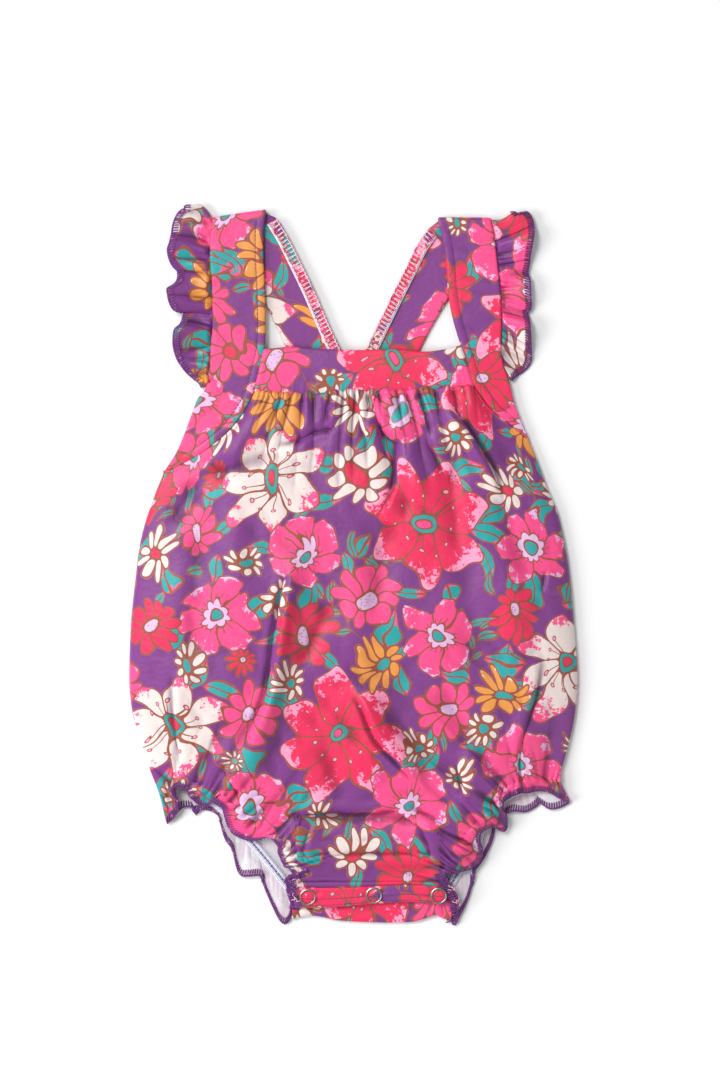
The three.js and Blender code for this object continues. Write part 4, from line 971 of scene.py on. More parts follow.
def print_on(mesh, cut):
    """Gives each face of a piece the motifs that reach it, the top ones first. cut is where on the
    cloth the piece is cut."""
    count = len(mesh.polygons)
    uv = mesh.uv_layers["cloth"].uv
    flat = np.empty(len(mesh.loops) * 2, dtype=np.float32)
    uv.foreach_get("vector", flat)
    flat = flat.reshape(-1, 2) + np.array(cut, dtype=np.float32)
    uv.foreach_set("vector", flat.ravel())
    starts, totals = np.empty(count, dtype=np.int32), np.empty(count, dtype=np.int32)
    mesh.polygons.foreach_get("loop_start", starts)
    mesh.polygons.foreach_get("loop_total", totals)
    middle = np.add.reduceat(flat, starts) / totals[:, None]
    around_middle = np.abs(flat - np.repeat(middle, totals, axis=0)).max(axis=1)
    reach = np.maximum.reduceat(around_middle, starts) * 1.5 + 2.5
    free = np.zeros(count, dtype=int)
    # A face with fewer motifs has the rest far off
    rows = np.zeros((3, LAYERS, count, 3), dtype=np.float32)
    rows[:] = np.array([(-1e4, 0, 1), (0, 5, 0), (0.4, 0.2, 2)])[:, None, None]
    low, high = middle.min(axis=0) - 45, middle.max(axis=0) + 45
    for x, y, radius, turn, kind in LAYOUT_ROWS:
        if not (low[0] < x < high[0] and low[1] < y < high[1]):
            continue
        near = np.hypot(middle[:, 0] - x, middle[:, 1] - y) < radius + reach
        chosen = np.nonzero(near & (free < LAYERS))[0]
        petals, *shape = MOTIFS[KINDS[int(kind)]][:4]
        for part, row in enumerate(((x, y, radius), (turn, petals, kind), shape)):
            rows[part, free[chosen], chosen] = row
        free[chosen] += 1
    for part, values in zip(PARTS, rows):
        for layer in range(LAYERS):
            attribute = mesh.attributes.new(f"{part}_{layer}", "FLOAT_VECTOR", "FACE")
            attribute.data.foreach_set("vector", values[layer].ravel())


# Materials


def material(name):
    made = bpy.data.materials.new(name)
    made.use_nodes = True
    made.node_tree.nodes.clear()
    return made, Tree(made.node_tree)


def shade(t, colour, roughness, **more):
    inputs = {key.replace("_", " "): value for key, value in more.items()}
    shader = t.node("ShaderNodeBsdfPrincipled", {"Base Color": colour, "Roughness": roughness, **inputs})
    t.node("ShaderNodeOutputMaterial", {"Surface": shader["BSDF"]})


def knit(t, uv, strength):
    """Bump of the jersey: fine ribs along the cloth with a little unevenness."""
    x, y, _ = uv.parts()
    rib = (x * (2 * math.pi / 0.62)).to("SINE")
    row = (y * (2 * math.pi / 0.48)).to("SINE")
    return t.bump((rib + row * 0.5) * 0.018 + t.noise(uv, 0.35, 4.0)["Fac"] * 0.5, strength, MM)


def crease_shaded(t, colour):
    """A cloth's colour with painted shade: darker in its creases, the deeper a point lies in one."""
    hollow = t.node("ShaderNodeAttribute", attribute_name="hollow")["Fac"]
    return t.mix(hollow, colour, (0.29, 0.18, 0.28, 1.0), "MULTIPLY")


def print_material(group):
    made, t = material("printed_jersey")
    drawn = t.node("ShaderNodeGroup", node_tree=group)
    uneven = t.noise(drawn["Place"], 0.8, 5.0, Roughness=0.7)["Fac"]
    shaded = 0.93 + uneven * 0.14
    tone = t.node("ShaderNodeCombineColor", {0: shaded, 1: shaded, 2: shaded})["Color"]
    colour = t.mix(1.0, drawn["Color"], tone, "MULTIPLY")
    shade(t, crease_shaded(t, colour), 0.36 + uneven * 0.14, Normal=knit(t, drawn["Place"], 0.5),
          Sheen_Weight=0.08, Sheen_Roughness=0.4, Specular_IOR_Level=0.42)
    return made


def wrong_side_material(group):
    """The print shows faintly through the white back of the cloth."""
    made, t = material("wrong_side")
    drawn = t.node("ShaderNodeGroup", node_tree=group)
    faded = t.mix(0.1, rgb("DCD9E0"), drawn["Color"])
    shade(t, crease_shaded(t, faded), 0.75, Normal=knit(t, drawn["Place"], 0.7), Sheen_Weight=0.1)
    return made


def thread_material(name, colour, fleck, share):
    made, t = material(name)
    place = t.node("ShaderNodeTexCoord")["Object"]
    noise = t.noise(place, 420.0, 2.0)["Fac"]
    mixed = t.mix((noise - (1 - share)).step(0.1), rgb(colour), rgb(fleck))
    ply = t.node("ShaderNodeTexWave", {"Vector": place, "Scale": 900.0, "Distortion": 2.0})["Fac"]
    shade(t, mixed, 0.5 + noise * 0.2, Normal=t.bump(ply, 0.3, 0.1 * MM), Sheen_Weight=0.2)
    return made


def tape_material():
    """The elastic's casing: pale lavender knit with ribs along it."""
    made, t = material("elastic_casing")
    _, across, _ = t.node("ShaderNodeUVMap", uv_map="cloth")["UV"].parts()
    rib = (across * (2 * math.pi / 0.9)).to("SINE")
    colour = t.mix(0.5 + rib * 0.5, rgb("B9BCDA"), rgb("F0F0F8"))
    shade(t, colour, 0.7, Normal=t.bump(rib, 0.5, 0.3 * MM), Sheen_Weight=0.2)
    return made


def metal_material():
    made, t = material("snap_metal")
    noise = t.noise(t.node("ShaderNodeTexCoord")["Object"], 900.0, 4.0)["Fac"]
    colour = t.mix(noise, rgb("A8A498"), rgb("D6D2C8"))
    shade(t, colour, 0.2 + noise * 0.18, Normal=t.bump(noise, 0.15, 0.1 * MM), Metallic=1.0)
    return made


PRINT = print_group(motif_group())
PRINTED = print_material(PRINT)
WRONG_SIDE = wrong_side_material(PRINT)
OVERLOCK = thread_material("purple_overlock", "6A2C76", "C468B0", 0.34)
TOPSTITCH_THREAD = thread_material("purple_thread", "5A2C6E", "6E3A86", 0.3)
LADDER_THREAD = thread_material("pink_thread", "F2C9D6", "E0487E", 0.42)
CASING = tape_material()
METAL = metal_material()


# Pieces of cloth


def rounded(thickness, share, power):
    """Half the thickness of a wall at shares of its width, less towards both edges."""
    return thickness / 2 * (0.12 + 0.88 * soft_edge(share, power))


def walled(node, mid, n, half, uv, cut=None, inside=None):
    """A wall of cloth on both sides of a grid of middle points. Returns its piece and its upper side."""
    top = mid + n * half
    return cloth(node, top, mid - n * half, uv, cut, inside), top


def band(node, mid, thickness, cut, power, upward=True):
    """A piece of doubled cloth with round edges, from a grid of middle points whose columns run across."""
    columns = mid.shape[1]
    n = normals(mid, upward)
    along, fall = lengths(mid)
    middle = slice(columns // 2, columns // 2 + 1)
    uv = np.dstack([along - along[:, middle], fall[:, middle] + 0 * along])
    obj, top = walled(node, mid, n, rounded(thickness, shares(columns - 1), power)[None, :, None], uv, cut)
    return obj, top, n


def free_edges(outer, n, columns):
    """The left and right parts of a cloth's last row, with the way into the cloth and the normals there."""
    tip, inward = outer[-1], outer[-4] - outer[-1]
    parts = (slice(columns + 1), slice(-columns - 1, None))
    return [(tip[part], inward[part], n[-1][part]) for part in parts]


def front():
    top = joined((through(shifted(ARM_LEFT, SEAM_GAP, -SEAM_GAP)), ARM_COLUMNS),
                 (in_step(through(shifted(BIB_SEAM, 0, -SEAM_GAP)), BIB_GATHERS), BIB_COLUMNS),
                 (through(shifted(ARM_RIGHT, -SEAM_GAP, -SEAM_GAP)), ARM_COLUMNS))

    def hem(left_leg, middle, right_leg):
        return joined((in_step(through(left_leg), LEG_GATHERS), LEG_COLUMNS),
                      (through(middle), PLACKET_COLUMNS),
                      (in_step(through(right_leg), LEG_GATHERS[::-1]), LEG_COLUMNS))

    legs = hem(FRONT_ELASTIC_LEFT, FRONT_ELASTIC_MIDDLE, FRONT_ELASTIC_RIGHT)
    edge = hem(FRONT_EDGE_LEFT, raised(shifted(PLACKET_SEAM, 0, SEAM_GAP), PLACKET_HEIGHT), FRONT_EDGE_RIGHT)
    across, steps, out = shares(FRONT_COLUMNS * FINER), shares(FRONT_ROWS), shares(FRILL_ROWS)[1:]
    down = 0.5 * steps + 0.5 * ramp(steps)
    flat = spanned(top, legs, through(SIDE_LEFT), through(SIDE_RIGHT), across, down)
    x, y = flat[:, :, 0], flat[:, :, 1]
    u, v = across[None, :], down[:, None]

    # The crown of the body, which meets the heights of its seams, with its folds and creases
    crown = soft_edge(u, 3)
    side, middle = read(PROFILE_SIDE, down)[:, None], read(PROFILE_MIDDLE, down)[:, None]
    to_bib = seam_height(u) - (SEAM_ENDS + (SEAM_MIDDLE - SEAM_ENDS) * crown)
    to_legs = legs(across)[None, :, 2] - (SIDE_SEAM + (PLACKET_HEIGHT - SIDE_SEAM) * crown)
    height = side + (middle - side) * crown + (1 - ramp(v / 0.12)) * to_bib + ramp((v - 0.6) / 0.4) * to_legs
    loose = 0.9 * undulation(x, y, 3, 46) + 0.3 * undulation(x, y, 4, 15)
    folds = folded(FOLDS, x, y) + 1.5 * folded(TROUGHS, x, y) + loose
    height = height + folds * within(v, 0.06) * within(u, 0.05)
    crease, slide = creased(x, y)
    body = np.dstack([flat, height + crease * within(v, 0.02, 0.04) * within(u, 0.03)])
    frill = between(legs(across), edge(across), out).swapaxes(0, 1)
    frill[:, :, 2] += 0.9 * np.sin(np.pi * out)[:, None] * np.clip((frill[:, :, 2] - 2) / 3, 0, 1)
    # The top goes on under the straps and the bib
    rows = shares(TUCKED)[:0:-1]
    under = np.array([beside(top, 1.5 * share)(across) for share in rows])
    base = np.concatenate([np.dstack([under, body[:1, :, 2] - 1.9 * ramp(rows)[:, None]]), body, frill])

    # Gathers under the bib
    column = across * FRONT_COLUMNS
    bib_share = (column - ARM_COLUMNS) / BIB_COLUMNS
    in_bib = (bib_share > 0) & (bib_share < 1)
    from_seam = np.linalg.norm(base - body[:1], axis=2)
    share = np.clip(bib_share[None, :] + 0.02 * sine(2.3 * bib_share)[None, :] * ramp(from_seam / 26), 0, 1)
    large = 1.6 * gathered(BIB_GATHERS, share, from_seam, 1.6, 0.36)
    fine = gathered(fine_gathers(37, 5, 9, 1.3), share, from_seam, 1.3, 0.5, 0.016)
    relief = np.where(in_bib, large + fine, 0)
    relief[:TUCKED] *= shares(TUCKED)[:-1, None]

    # Gathers along the legs, which spread from the elastic both up the body and out to the frill's edge
    last = TUCKED + len(down)
    leg_columns = LEG_COLUMNS * FINER
    leg_share = np.tile(np.minimum(column, FRONT_COLUMNS - column) / LEG_COLUMNS, (len(base), 1))
    from_leg = np.zeros(leg_share.shape)
    leg_share[:last], from_leg[:last] = 2.0, 1e3
    elastic = legs(across)[:, :2]
    for line in (elastic[:leg_columns + 1], elastic[:-leg_columns - 2:-1]):
        share, far = nearest(line, base[:last], 70.0)
        closer = far < from_leg[:last]
        leg_share[:last][closer] = share[closer]
        from_leg[:last][closer] = far[closer]
    outward = np.r_[np.zeros(last), out][:, None]
    share = np.clip(leg_share + 0.012 * sine(3.1 * leg_share) * ramp(from_leg / 28), 0, 1)
    large = 1.5 * gathered(LEG_GATHERS, share, from_leg, 1.5, 0.4, 0.012) * (1 - ramp(1.6 * outward))
    fine = gathered(fine_gathers(29, 8, 14, 2.4), share, from_leg, 1.2, 0.45, 0.02)
    wavy = gathered(fine_gathers(19, 15, 0.6, 1.2), share, 1 - outward + 0 * share, 1.5, 0.8, 0.03)
    cinch = 0.45 * bell(from_leg / 3) * bell(outward * 5)
    rises = large + fine * (1 - ramp(1.5 * outward)) + wavy * ramp(3 * outward) - cinch
    relief += np.where(leg_share < 1, rises, 0)

    n = normals(base)
    rim = np.minimum(np.minimum(u, 1 - u) * 400, 1)
    outer = base + n * (JERSEY / 2 + relief * rim)[:, :, None]
    inner = base - n * (JERSEY / 2)
    low = np.minimum(inner[:, :, 2], lowest(outer[:, :, 2]) - 0.5)
    inner[:, :, 2] = np.maximum(low, FLOOR_JERSEY + JERSEY)

    # The print is squeezed where the cloth is gathered, and the frill's runs on out from the elastic
    place = base[:, :, :2].copy()
    padded = np.pad(np.gradient(elastic, axis=0), ((8, 8), (0, 0)), mode="edge")
    run = unit(np.stack([np.convolve(padded[:, k], np.ones(17) / 17, mode="valid") for k in (0, 1)], axis=1))
    square = np.stack([run[:, 1], -run[:, 0]], axis=1)
    past = lengths(base[last - 1:])[1][1:]
    sideways = np.clip(((place[last:] - place[last - 1]) * run).sum(axis=2), -0.7 * past, 0.7 * past)
    outwards = np.sqrt(past ** 2 - sideways ** 2)
    place[last:] = place[last - 1] + square * outwards[:, :, None] + run * sideways[:, :, None]
    place[:, :, 0] *= 1 + 0.3 * bell(from_seam / 42, 1.4)
    place += np.concatenate([slide[:1].repeat(TUCKED, axis=0), slide, slide[-1:].repeat(len(out), axis=0)])
    cloth("front", outer, inner, place, (300.0, 400.0), WRONG_SIDE, 4)
    return free_edges(outer, n, leg_columns)


def back():
    columns = 2 * BACK_LEG_COLUMNS + BACK_HEM_COLUMNS

    def strip(left_leg, middle, right_leg):
        return joined((through(left_leg), BACK_LEG_COLUMNS), (through(middle), BACK_HEM_COLUMNS),
                      (through(right_leg), BACK_LEG_COLUMNS))

    elastic = (BACK_ELASTIC_LEFT, BACK_ELASTIC_HEM, BACK_ELASTIC_RIGHT)
    legs = strip(*[raised(line, FLOOR_JERSEY) for line in elastic])
    edge = strip(BACK_EDGE_LEFT, raised(BACK_HEM, FLOOR_JERSEY), BACK_EDGE_RIGHT)
    top = through(shifted(BACK_TOP, 0, -SEAM_GAP))
    across, out = shares(columns * BACK_FINER), shares(20)[1:]
    plane = spanned(top, legs, through(SIDE_LEFT), through(SIDE_RIGHT), across, shares(80))
    frill = between(legs(across), edge(across), out).swapaxes(0, 1)
    column = across * columns
    leg_share = np.clip(np.minimum(column, columns - column) / BACK_LEG_COLUMNS, 0, 1)[None, :]
    puckers = gathered(fine_gathers(24, 12, 0.7, 0.9), leg_share + 0 * out[:, None], out[:, None], 1.5)
    puckers *= 0.7 * np.sin(np.pi * np.minimum(out * 1.4, 1))[:, None]
    frill[:, :, 2] = np.maximum(frill[:, :, 2], FLOOR_JERSEY) + np.where(leg_share < 1, puckers, 0)
    base = np.concatenate([np.dstack([plane, np.full(plane.shape[:2], FLOOR_JERSEY)]), frill])
    n = normals(base)
    outer, inner = base + n * JERSEY / 2, base - n * JERSEY / 2
    inner[:, :, 2] = np.maximum(inner[:, :, 2], 0)
    # The front shows this piece's wrong side, so its outer face is the one below
    cloth("back", inner, outer, base[:, :, :2], (250.0, 300.0), WRONG_SIDE)
    return free_edges(outer, n, BACK_LEG_COLUMNS * BACK_FINER)


def tucked_ends(grid, distance, drop):
    """Carries a grid on past its first and last columns, down under the pieces beside it."""
    s = shares(TUCKED)[:0:-1]
    for _ in range(2):
        way = unit(grid[:, 0] - grid[:, 3])
        more = grid[:, :1] + way[:, None] * (distance * s)[None, :, None]
        more[:, :, 2] = grid[:, :1, 2] - drop * ramp(1.4 * s)[None]
        grid = np.concatenate([more, grid], axis=1)[:, ::-1]
    return grid


def bib():
    across, down = shares(200), close_to_edges(36)
    flat = between(through(BIB_EDGE)(across), through(BIB_SEAM)(across), down).swapaxes(0, 1)
    seam = seam_height((ARM_COLUMNS + BIB_COLUMNS * across) / FRONT_COLUMNS)
    height = BIB_TOP + (seam[None] - BIB_TOP) * down[:, None] + BIB_ROUNDING * np.sin(np.pi * down)[:, None]
    height = height + 0.25 * undulation(flat[:, :, 0], flat[:, :, 1], 21, 24)
    share = across[None] + 0 * down[:, None]
    puckers = gathered(fine_gathers(44, 22, 0.2, 0.35), share, (1 - down)[:, None], 1.5)
    mid = tucked_ends(np.dstack([flat, height + puckers]), 2.2, 2.2)
    walled("bib", mid, normals(mid), rounded(BAND, down, 10)[:, None, None], mid[:, :, :2], (420.0, 120.0))


def around(edge, upper, lower, direction=1, steps=7):
    """Points round a fold, from the upper layer over the fold line to the lower layer."""
    radius, middle = (upper - lower) / 2, (upper + lower) / 2
    angle = np.pi * np.arange(1, steps) / steps
    return np.stack([edge[0] + 0 * angle, edge[1] + direction * radius * np.sin(angle),
                     middle + radius * np.cos(angle)], axis=1)


def strap(side, outer_front, inner_front, outer_back, inner_back, cut):
    """One strip up the front, over the shoulder and down the back. side is -1 for the left and 1 for the
    right. Returns the line of the stitches beside its inner seam."""
    name = "strap_right" if side > 0 else "strap_left"
    edges = []
    for front_line, back_line in ((outer_front, outer_back), (inner_front, inner_back)):
        upper = through(front_line)(shares(STRAP_ROWS))
        under = through(raised([front_line[-1], *back_line], FLOOR_STRAP))(shares(70))
        edges.append(np.concatenate([upper, around(upper[-1], SHOULDER_STRAP, FLOOR_STRAP), under]))
    outer, inner = edges
    across = close_to_edges(28)
    mid = between(outer, inner, across)
    # The seam's edge swells a little, and the row of stitches beside it sinks in
    wide = np.linalg.norm(inner - outer, axis=1)
    from_inner = (1 - across)[None, :] * wide[:, None]
    row = np.arange(len(mid))[:, None]
    lift = 0.12 * bell((from_inner - 2.6) / 1.6) - 0.16 * bell((from_inner - STITCH_LINE) / 0.8)
    lift += 0.22 * undulation(row * 1.6 + 0 * from_inner, from_inner, 31 + side, 15)
    mid[:, :, 2] += np.where((row < STRAP_ROWS - 2) & (wide[:, None] > 8), lift, 0)
    _, top, _ = band(name, mid, DOUBLED, cut, 14, upward=False)
    line = []
    for row in range(18, STRAP_ROWS - 2):
        places = np.linalg.norm(mid[row] - mid[row, 0], axis=1)
        k, past = divmod(np.interp(places[-1] - STITCH_LINE, places, np.arange(len(places))), 1)
        line.append(top[row, int(k)] + (top[row, int(k) + 1] - top[row, int(k)]) * past)
    return np.array(line)


def ruffle(side, outer_front, outer_back, free_edge, under_edge, crest, cut):
    """Frill along the outer edge of a strap, sewn on under it, over the shoulder and back under itself.
    Returns its free edge, with the way into the cloth and the normals there."""
    name = "ruffle_right" if side > 0 else "ruffle_left"
    along, hidden = shares(RUFFLE_ROWS), shares(36)
    low = FLOOR_JERSEY + 0.1
    root = beside(through(outer_front), side * 0.9)(RUFFLE_START + (1 - RUFFLE_START) * along)
    root[:, 2] -= 1.7
    free = through(free_edge)(along)
    back_outer = beside(through(outer_back), side * 1.5)(HIDDEN_SHARE * shares(3)).tolist()
    lines = [np.concatenate([line, around(line[-1], line[-1][2], low),
                             through(raised([line[-1][:2], *under], low))(hidden)])
             for line, under in ((root, back_outer), (free, under_edge[1:]))]
    root, free = lines
    out = close_to_edges(28)[None, :]
    mid = between(root, free, out[0])
    mid[:, :, 2] = root[:, 2:] + (free[:, 2:] - root[:, 2:]) * ramp(out)
    turn = len(mid) - len(along) - len(hidden)
    lift = crest * np.r_[ramp((along - 0.8) / 0.2), np.ones(turn), 1 - ramp(hidden / 0.5)]
    mid[:, :, 1] += lift[:, None] * np.sin(np.pi * out ** 0.9) ** 2
    # Gathers spread out from the seam
    row = np.arange(len(mid))[:, None]
    share = np.clip(row / RUFFLE_ROWS + 0.02 * np.sin(row / 17), 0, 1) + 0 * out
    puckers = gathered(fine_gathers(9, 41 + side, 1.3, 6.0), share, out + 0 * share, 1.5, 0.32, 0.03)
    puckers += gathered(fine_gathers(26, 47 + side, 0.4, 3.0), share, out + 0 * share, 1.4, 0.4, 0.025)
    rise = (puckers - 1.2) * within(share, 0.06, 0.04) * ramp((out - 0.03) / 0.14) * 1.2
    mid[:, :, 2] = np.maximum(mid[:, :, 2] + np.where(row <= RUFFLE_ROWS, rise, 0), low)
    n = normals(mid, upward=False)
    half = JERSEY / 2 * (0.25 + 0.75 * np.minimum(1, (1 - out) * 12))[:, :, None]
    along_row, fall = lengths(mid)
    _, top = walled(name, mid, n, half, np.dstack([along_row, fall[:, :1] + 0 * along_row]), cut, WRONG_SIDE)
    shown = slice(RUFFLE_ROWS + 4)
    return [(top[shown, -1], top[shown, -4] - top[shown, -1], n[shown, -1])]


def placket_front():
    """The front placket, puckered round its snaps. Returns its upper side."""
    across, down = shares(160), close_to_edges(22)
    top, bottom = through(shifted(PLACKET_SEAM, 0, -0.1))(across), through(PLACKET_EDGE)(across)
    flat = between(top, bottom, down).swapaxes(0, 1)
    height = np.full(flat.shape[:2], PLACKET_HEIGHT)
    for x, y in SNAP_CENTRES:
        dx, dy = flat[:, :, 0] - x, flat[:, :, 1] - y
        far = np.hypot(dx, dy)
        height += (0.22 * np.cos(7 * np.arctan2(dy, dx)) * bell((far - 7) / 3) + 0.35 * bell(far / 3)
                   - 0.25 * bell((far - 4.6) / 2.2))
    height += 0.35 * undulation(flat[:, :, 0], flat[:, :, 1], 51, 17) * np.sin(np.pi * down)[:, None]
    mid = np.dstack([flat, height])
    half = rounded(SNAP_TAPE, down, 10)[:, None, None]
    return walled("placket_front", mid, normals(mid), half, flat, (180.0, 420.0))[1]


def placket_back():
    """The back placket, turned up over the crotch fold."""
    lower = SNAP_TAPE / 2
    start, turned_up = BACK_HEM[0][1] - SEAM_GAP - 0.1, -187.5
    columns = []
    for x, y in through(CROTCH_FOLD)(shares(150)):
        y += (FLAP_HEIGHT - lower) / 2 + SNAP_TAPE / 2
        under = [[x, start + (y - start) * s, lower] for s in shares(4)]
        bend = around((x, y), FLAP_HEIGHT, lower, -1, 8)[::-1].tolist()
        over = [[x, y + (turned_up - y) * s, FLAP_HEIGHT] for s in shares(14)]
        columns.append(under + bend + over)
    mid = np.array(columns).transpose(1, 0, 2)
    x, y = mid[:, :, 0], mid[:, :, 1]
    shown = (np.arange(len(mid)) >= len(under) + len(bend))[:, None]
    mid[:, :, 2] += np.where(shown, 0.5 * undulation(x, y * 1.5, 61, 13), 0)
    # The cloth fans out from the outer snaps in small pleats
    for snap_x, snap_y in SNAP_CENTRES[::2]:
        far = np.hypot(x - snap_x, y - snap_y + 3)
        fan = np.abs(np.sin(5 * np.arctan2(y - snap_y - 3, x - snap_x) + 0.4)) ** 0.5
        mid[:, :, 2] += 1.1 * (fan - 0.6) * bell((far - 7) / 5)
    mid[:, :, 2] = np.maximum(mid[:, :, 2], lower)
    n = normals(mid, upward=False)
    n = n if n[-2, 5, 2] > 0 else -n
    walled("placket_back", mid, n, lower, np.dstack([x, lengths(mid)[1]]), (300.0, 520.0))


def strip_beside(line, height, count, side, *widths):
    """Lines of points along one side of a line: the line itself, then one at each width."""
    near = through(raised(line, height))
    return [near(shares(count)), *[beside(near, side * width)(shares(count)) for width in widths]]


def serged_seam(side, inner_back, cut):
    """The serged seam allowance along the neck edge of a back strap, with its stitches."""
    name = "seam_right" if side > 0 else "seam_left"
    line = shifted(inner_back[:6], side * 0.4, -0.2)
    height = DOUBLED + SEAM_GAP + SERGED_WALL / 2
    near, far, rim = strip_beside(line, height, 120, side, SERGED_WIDTH, SERGED_WIDTH + BARE_EDGE)
    across = close_to_edges(20)
    mid = between(near, rim, across)
    mid[:, :, 2] += 0.12 * undulation(mid[:, :, 0], mid[:, :, 1], 71 + side, 7)
    obj, _, _ = band(name, mid, SERGED_WALL, cut, 8)
    # The outermost columns show the cloth's wrong side
    obj.data.materials[1] = WRONG_SIDE
    last = len(across) - 1
    covered = np.searchsorted(across, SERGED_WIDTH / (SERGED_WIDTH + BARE_EDGE))
    for row in range(len(mid) - 1):
        for column in range(covered, last):
            obj.data.polygons[row * last + column].material_index = 1
    ladder(name + "_stitches", near, far, height + SERGED_WALL / 2)


def casing(name, line):
    """The elastic's casing inside a back leg, with the stitches along its middle."""
    height = JERSEY + SEAM_GAP + 0.1 + ELASTIC_WALL / 2
    near, far = strip_beside(line, height, 110, 1, ELASTIC_WIDTH)
    across = close_to_edges(14)
    mid = between(near, far, across)
    mid[:, :, 2] += 0.16 * sine(22 * shares(110))[:, None] * np.sin(np.pi * across)
    mid[:, :, 2] -= 0.35 * bell((across - 0.5) / 0.07)
    half = rounded(ELASTIC_WALL, across, 8)[None, :, None]
    walled(name, mid, normals(mid), half, np.dstack(lengths(mid)[::-1]), inside=CASING)
    middle = (near + far) / 2
    middle[:, 2] = height + ELASTIC_WALL / 2 - 0.12
    stitches(name + "_stitches", middle, 2.0, 0.32)


# Threads


def stitches(name, line, pitch, radius):
    """Row of straight stitches along a line, each rising out of the cloth and back into it."""
    far = distances(line)
    count = max(2, int(round(far[-1] / pitch)) + 1)
    ends = picked(np.linspace(0, far[-1], count), far, line)
    s = np.linspace(0, 0.78, 6)
    lines = between(ends[:-1], ends[1:], s)
    lines[:, :, 2] += 0.16 * np.sin(np.pi * s / 0.78) - 0.06
    tubes(name, lines, radius, TOPSTITCH_THREAD)


def ladder(name, near, far, height):
    """Overlock along a seam allowance: slanted threads across it, and a chain along each edge."""
    count = int(distances(near)[-1] / LADDER_PITCH)
    index = shares(len(near) - 1)
    start = np.repeat(np.linspace(0.01, 0.99, count), 2)
    lag, lift = np.tile([0.0, 0.45], count), np.tile([0.0, 0.12], count)
    s = np.linspace(0.02, 0.98, 7)
    ends = picked(np.minimum(start + lag / count, 1), index, far)
    lines = between(picked(start, index, near), ends, s)
    lines[:, :, 2] = height + 0.12 + lift[:, None] + 0.14 * np.sin(np.pi * s)
    tubes(name, lines, 0.27, LADDER_THREAD)
    chain = []
    share = (np.arange(count * 2) + 0.5) / (count * 2)
    bow = np.sin(np.pi * shares(6))
    for points in (near, far):
        low, high = np.maximum(share - 0.45 / count, 0), np.minimum(share + 0.45 / count, 1)
        links = between(picked(low, index, points), picked(high, index, points), shares(6))
        links[:, :, 2] = height + 0.1 + 0.22 * bow
        links[:, :, 0] += np.tile([0.25, -0.25], count)[:, None] * bow
        chain.append(links)
    tubes(name + "_chain", np.concatenate(chain), 0.22, LADDER_THREAD)


def overlock(name, tip, inward, normal, width=OVERLOCK_WIDTH):
    """Rolled overlock round a free edge: a slanted loop every stitch and a bead along the edge."""
    far = distances(tip)
    count = int(far[-1] / OVERLOCK_PITCH)
    places = (np.arange(count) + 0.5) / count * far[-1]
    edge, into, up = (picked(places, far, points) for points in (tip, unit(inward), normal))
    ahead, behind = np.minimum(places + 0.3, far[-1]), np.maximum(places - 0.3, 0)
    run = unit(picked(ahead, far, tip) - picked(behind, far, tip))
    # Points of a loop: how far into the cloth, up and along the edge, from over the cloth to under it
    loop = np.array([
        (width, 0.05, 1.0),
        (width * 0.5, 0.45, 0.4),
        (0.2, 0.35, -0.1),
        (-0.7, -JERSEY / 2, -0.3),
        (-0.1, -JERSEY - 0.25, -0.5),
        (width * 0.6, -JERSEY - 0.3, -0.8),
    ])
    loop[:, 2] *= OVERLOCK_PITCH * 0.55
    tubes(name, edge[:, None] + np.einsum("pk,knd->npd", loop, np.array([into, up, run])), 0.42, OVERLOCK)
    bead = edge - into * 0.3 - up * JERSEY * 0.4
    s = np.linspace(-0.25, 1.25, 6)
    bulge = 0.35 * np.sin(np.pi * np.clip(s, 0, 1))
    beads = between(bead[:-1], bead[1:], s) + up[:-1, None] * bulge[:, None]
    tubes(name + "_bead", beads, 0.58, OVERLOCK, 6)


def placket_end(name, points, towards, width):
    """Overlocked end of the placket, from its edge and the side on which the cloth lies."""
    dice = random.Random(len(name))
    tip = through(points)(shares(40))
    tip += np.array([[dice.uniform(-0.35, 0.35) for _ in range(3)] for _ in tip])
    inward, up = (np.tile(way, (len(tip), 1)) for way in ([*towards, 0.0], [0.0, 0.0, 1.0]))
    overlock(name, tip, inward, up, width)


def loose_threads(name, centres, seed):
    """Cut ends of pale thread at the ends of the placket."""
    dice = random.Random(seed)
    lines = []
    for x, y, z in centres:
        for _ in range(7):
            way, curl = dice.uniform(0, 2 * math.pi), dice.uniform(-1.5, 1.5)
            place = np.array([x + dice.uniform(-1.2, 1.2), y + dice.uniform(-1.8, 1.8), z])
            line = []
            for _ in range(7):
                line.append(place.copy())
                place += (0.4 * math.cos(way), 0.4 * math.sin(way), dice.uniform(-0.1, 0.12))
                way += curl / 3
            lines.append(line)
    tubes(name, lines, 0.2, LADDER_THREAD)


# Metal


def ring(number, centre, turns=72, section=14):
    """Snap ring: a flattened ring with a rolled edge. The snap under it keeps its solid."""
    spin = 2 * np.pi * np.arange(turns)[:, None] / turns
    angle = 2 * np.pi * np.arange(section)[None] / section
    r = (RING_OUTER + RING_INNER) / 2 + (RING_OUTER - RING_INNER) / 2 * np.cos(angle)
    height = PLACKET_HEIGHT + SNAP_TAPE / 2 + RING_HEIGHT / 2 + 0.1
    z = height + RING_HEIGHT / 2 * np.sin(angle) * (1 - 0.25 * (np.cos(angle) > 0))
    points = np.dstack([centre[0] + r * np.cos(spin), centre[1] + r * np.sin(spin), z + 0 * spin])
    i = np.arange(turns * section).reshape(turns, section)
    a, b = np.roll(i, -1, axis=0), np.roll(i, -1, axis=1)
    faces = np.stack([i, a, np.roll(a, -1, axis=1), b], axis=-1).reshape(-1, 4).tolist()
    piece(f"ring_{number}", points.reshape(-1, 3), faces, (METAL,), f"snap_ring_{number}")
    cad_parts[f"snap_fastener_{number}"].material_slots[0].material = METAL


# Stage


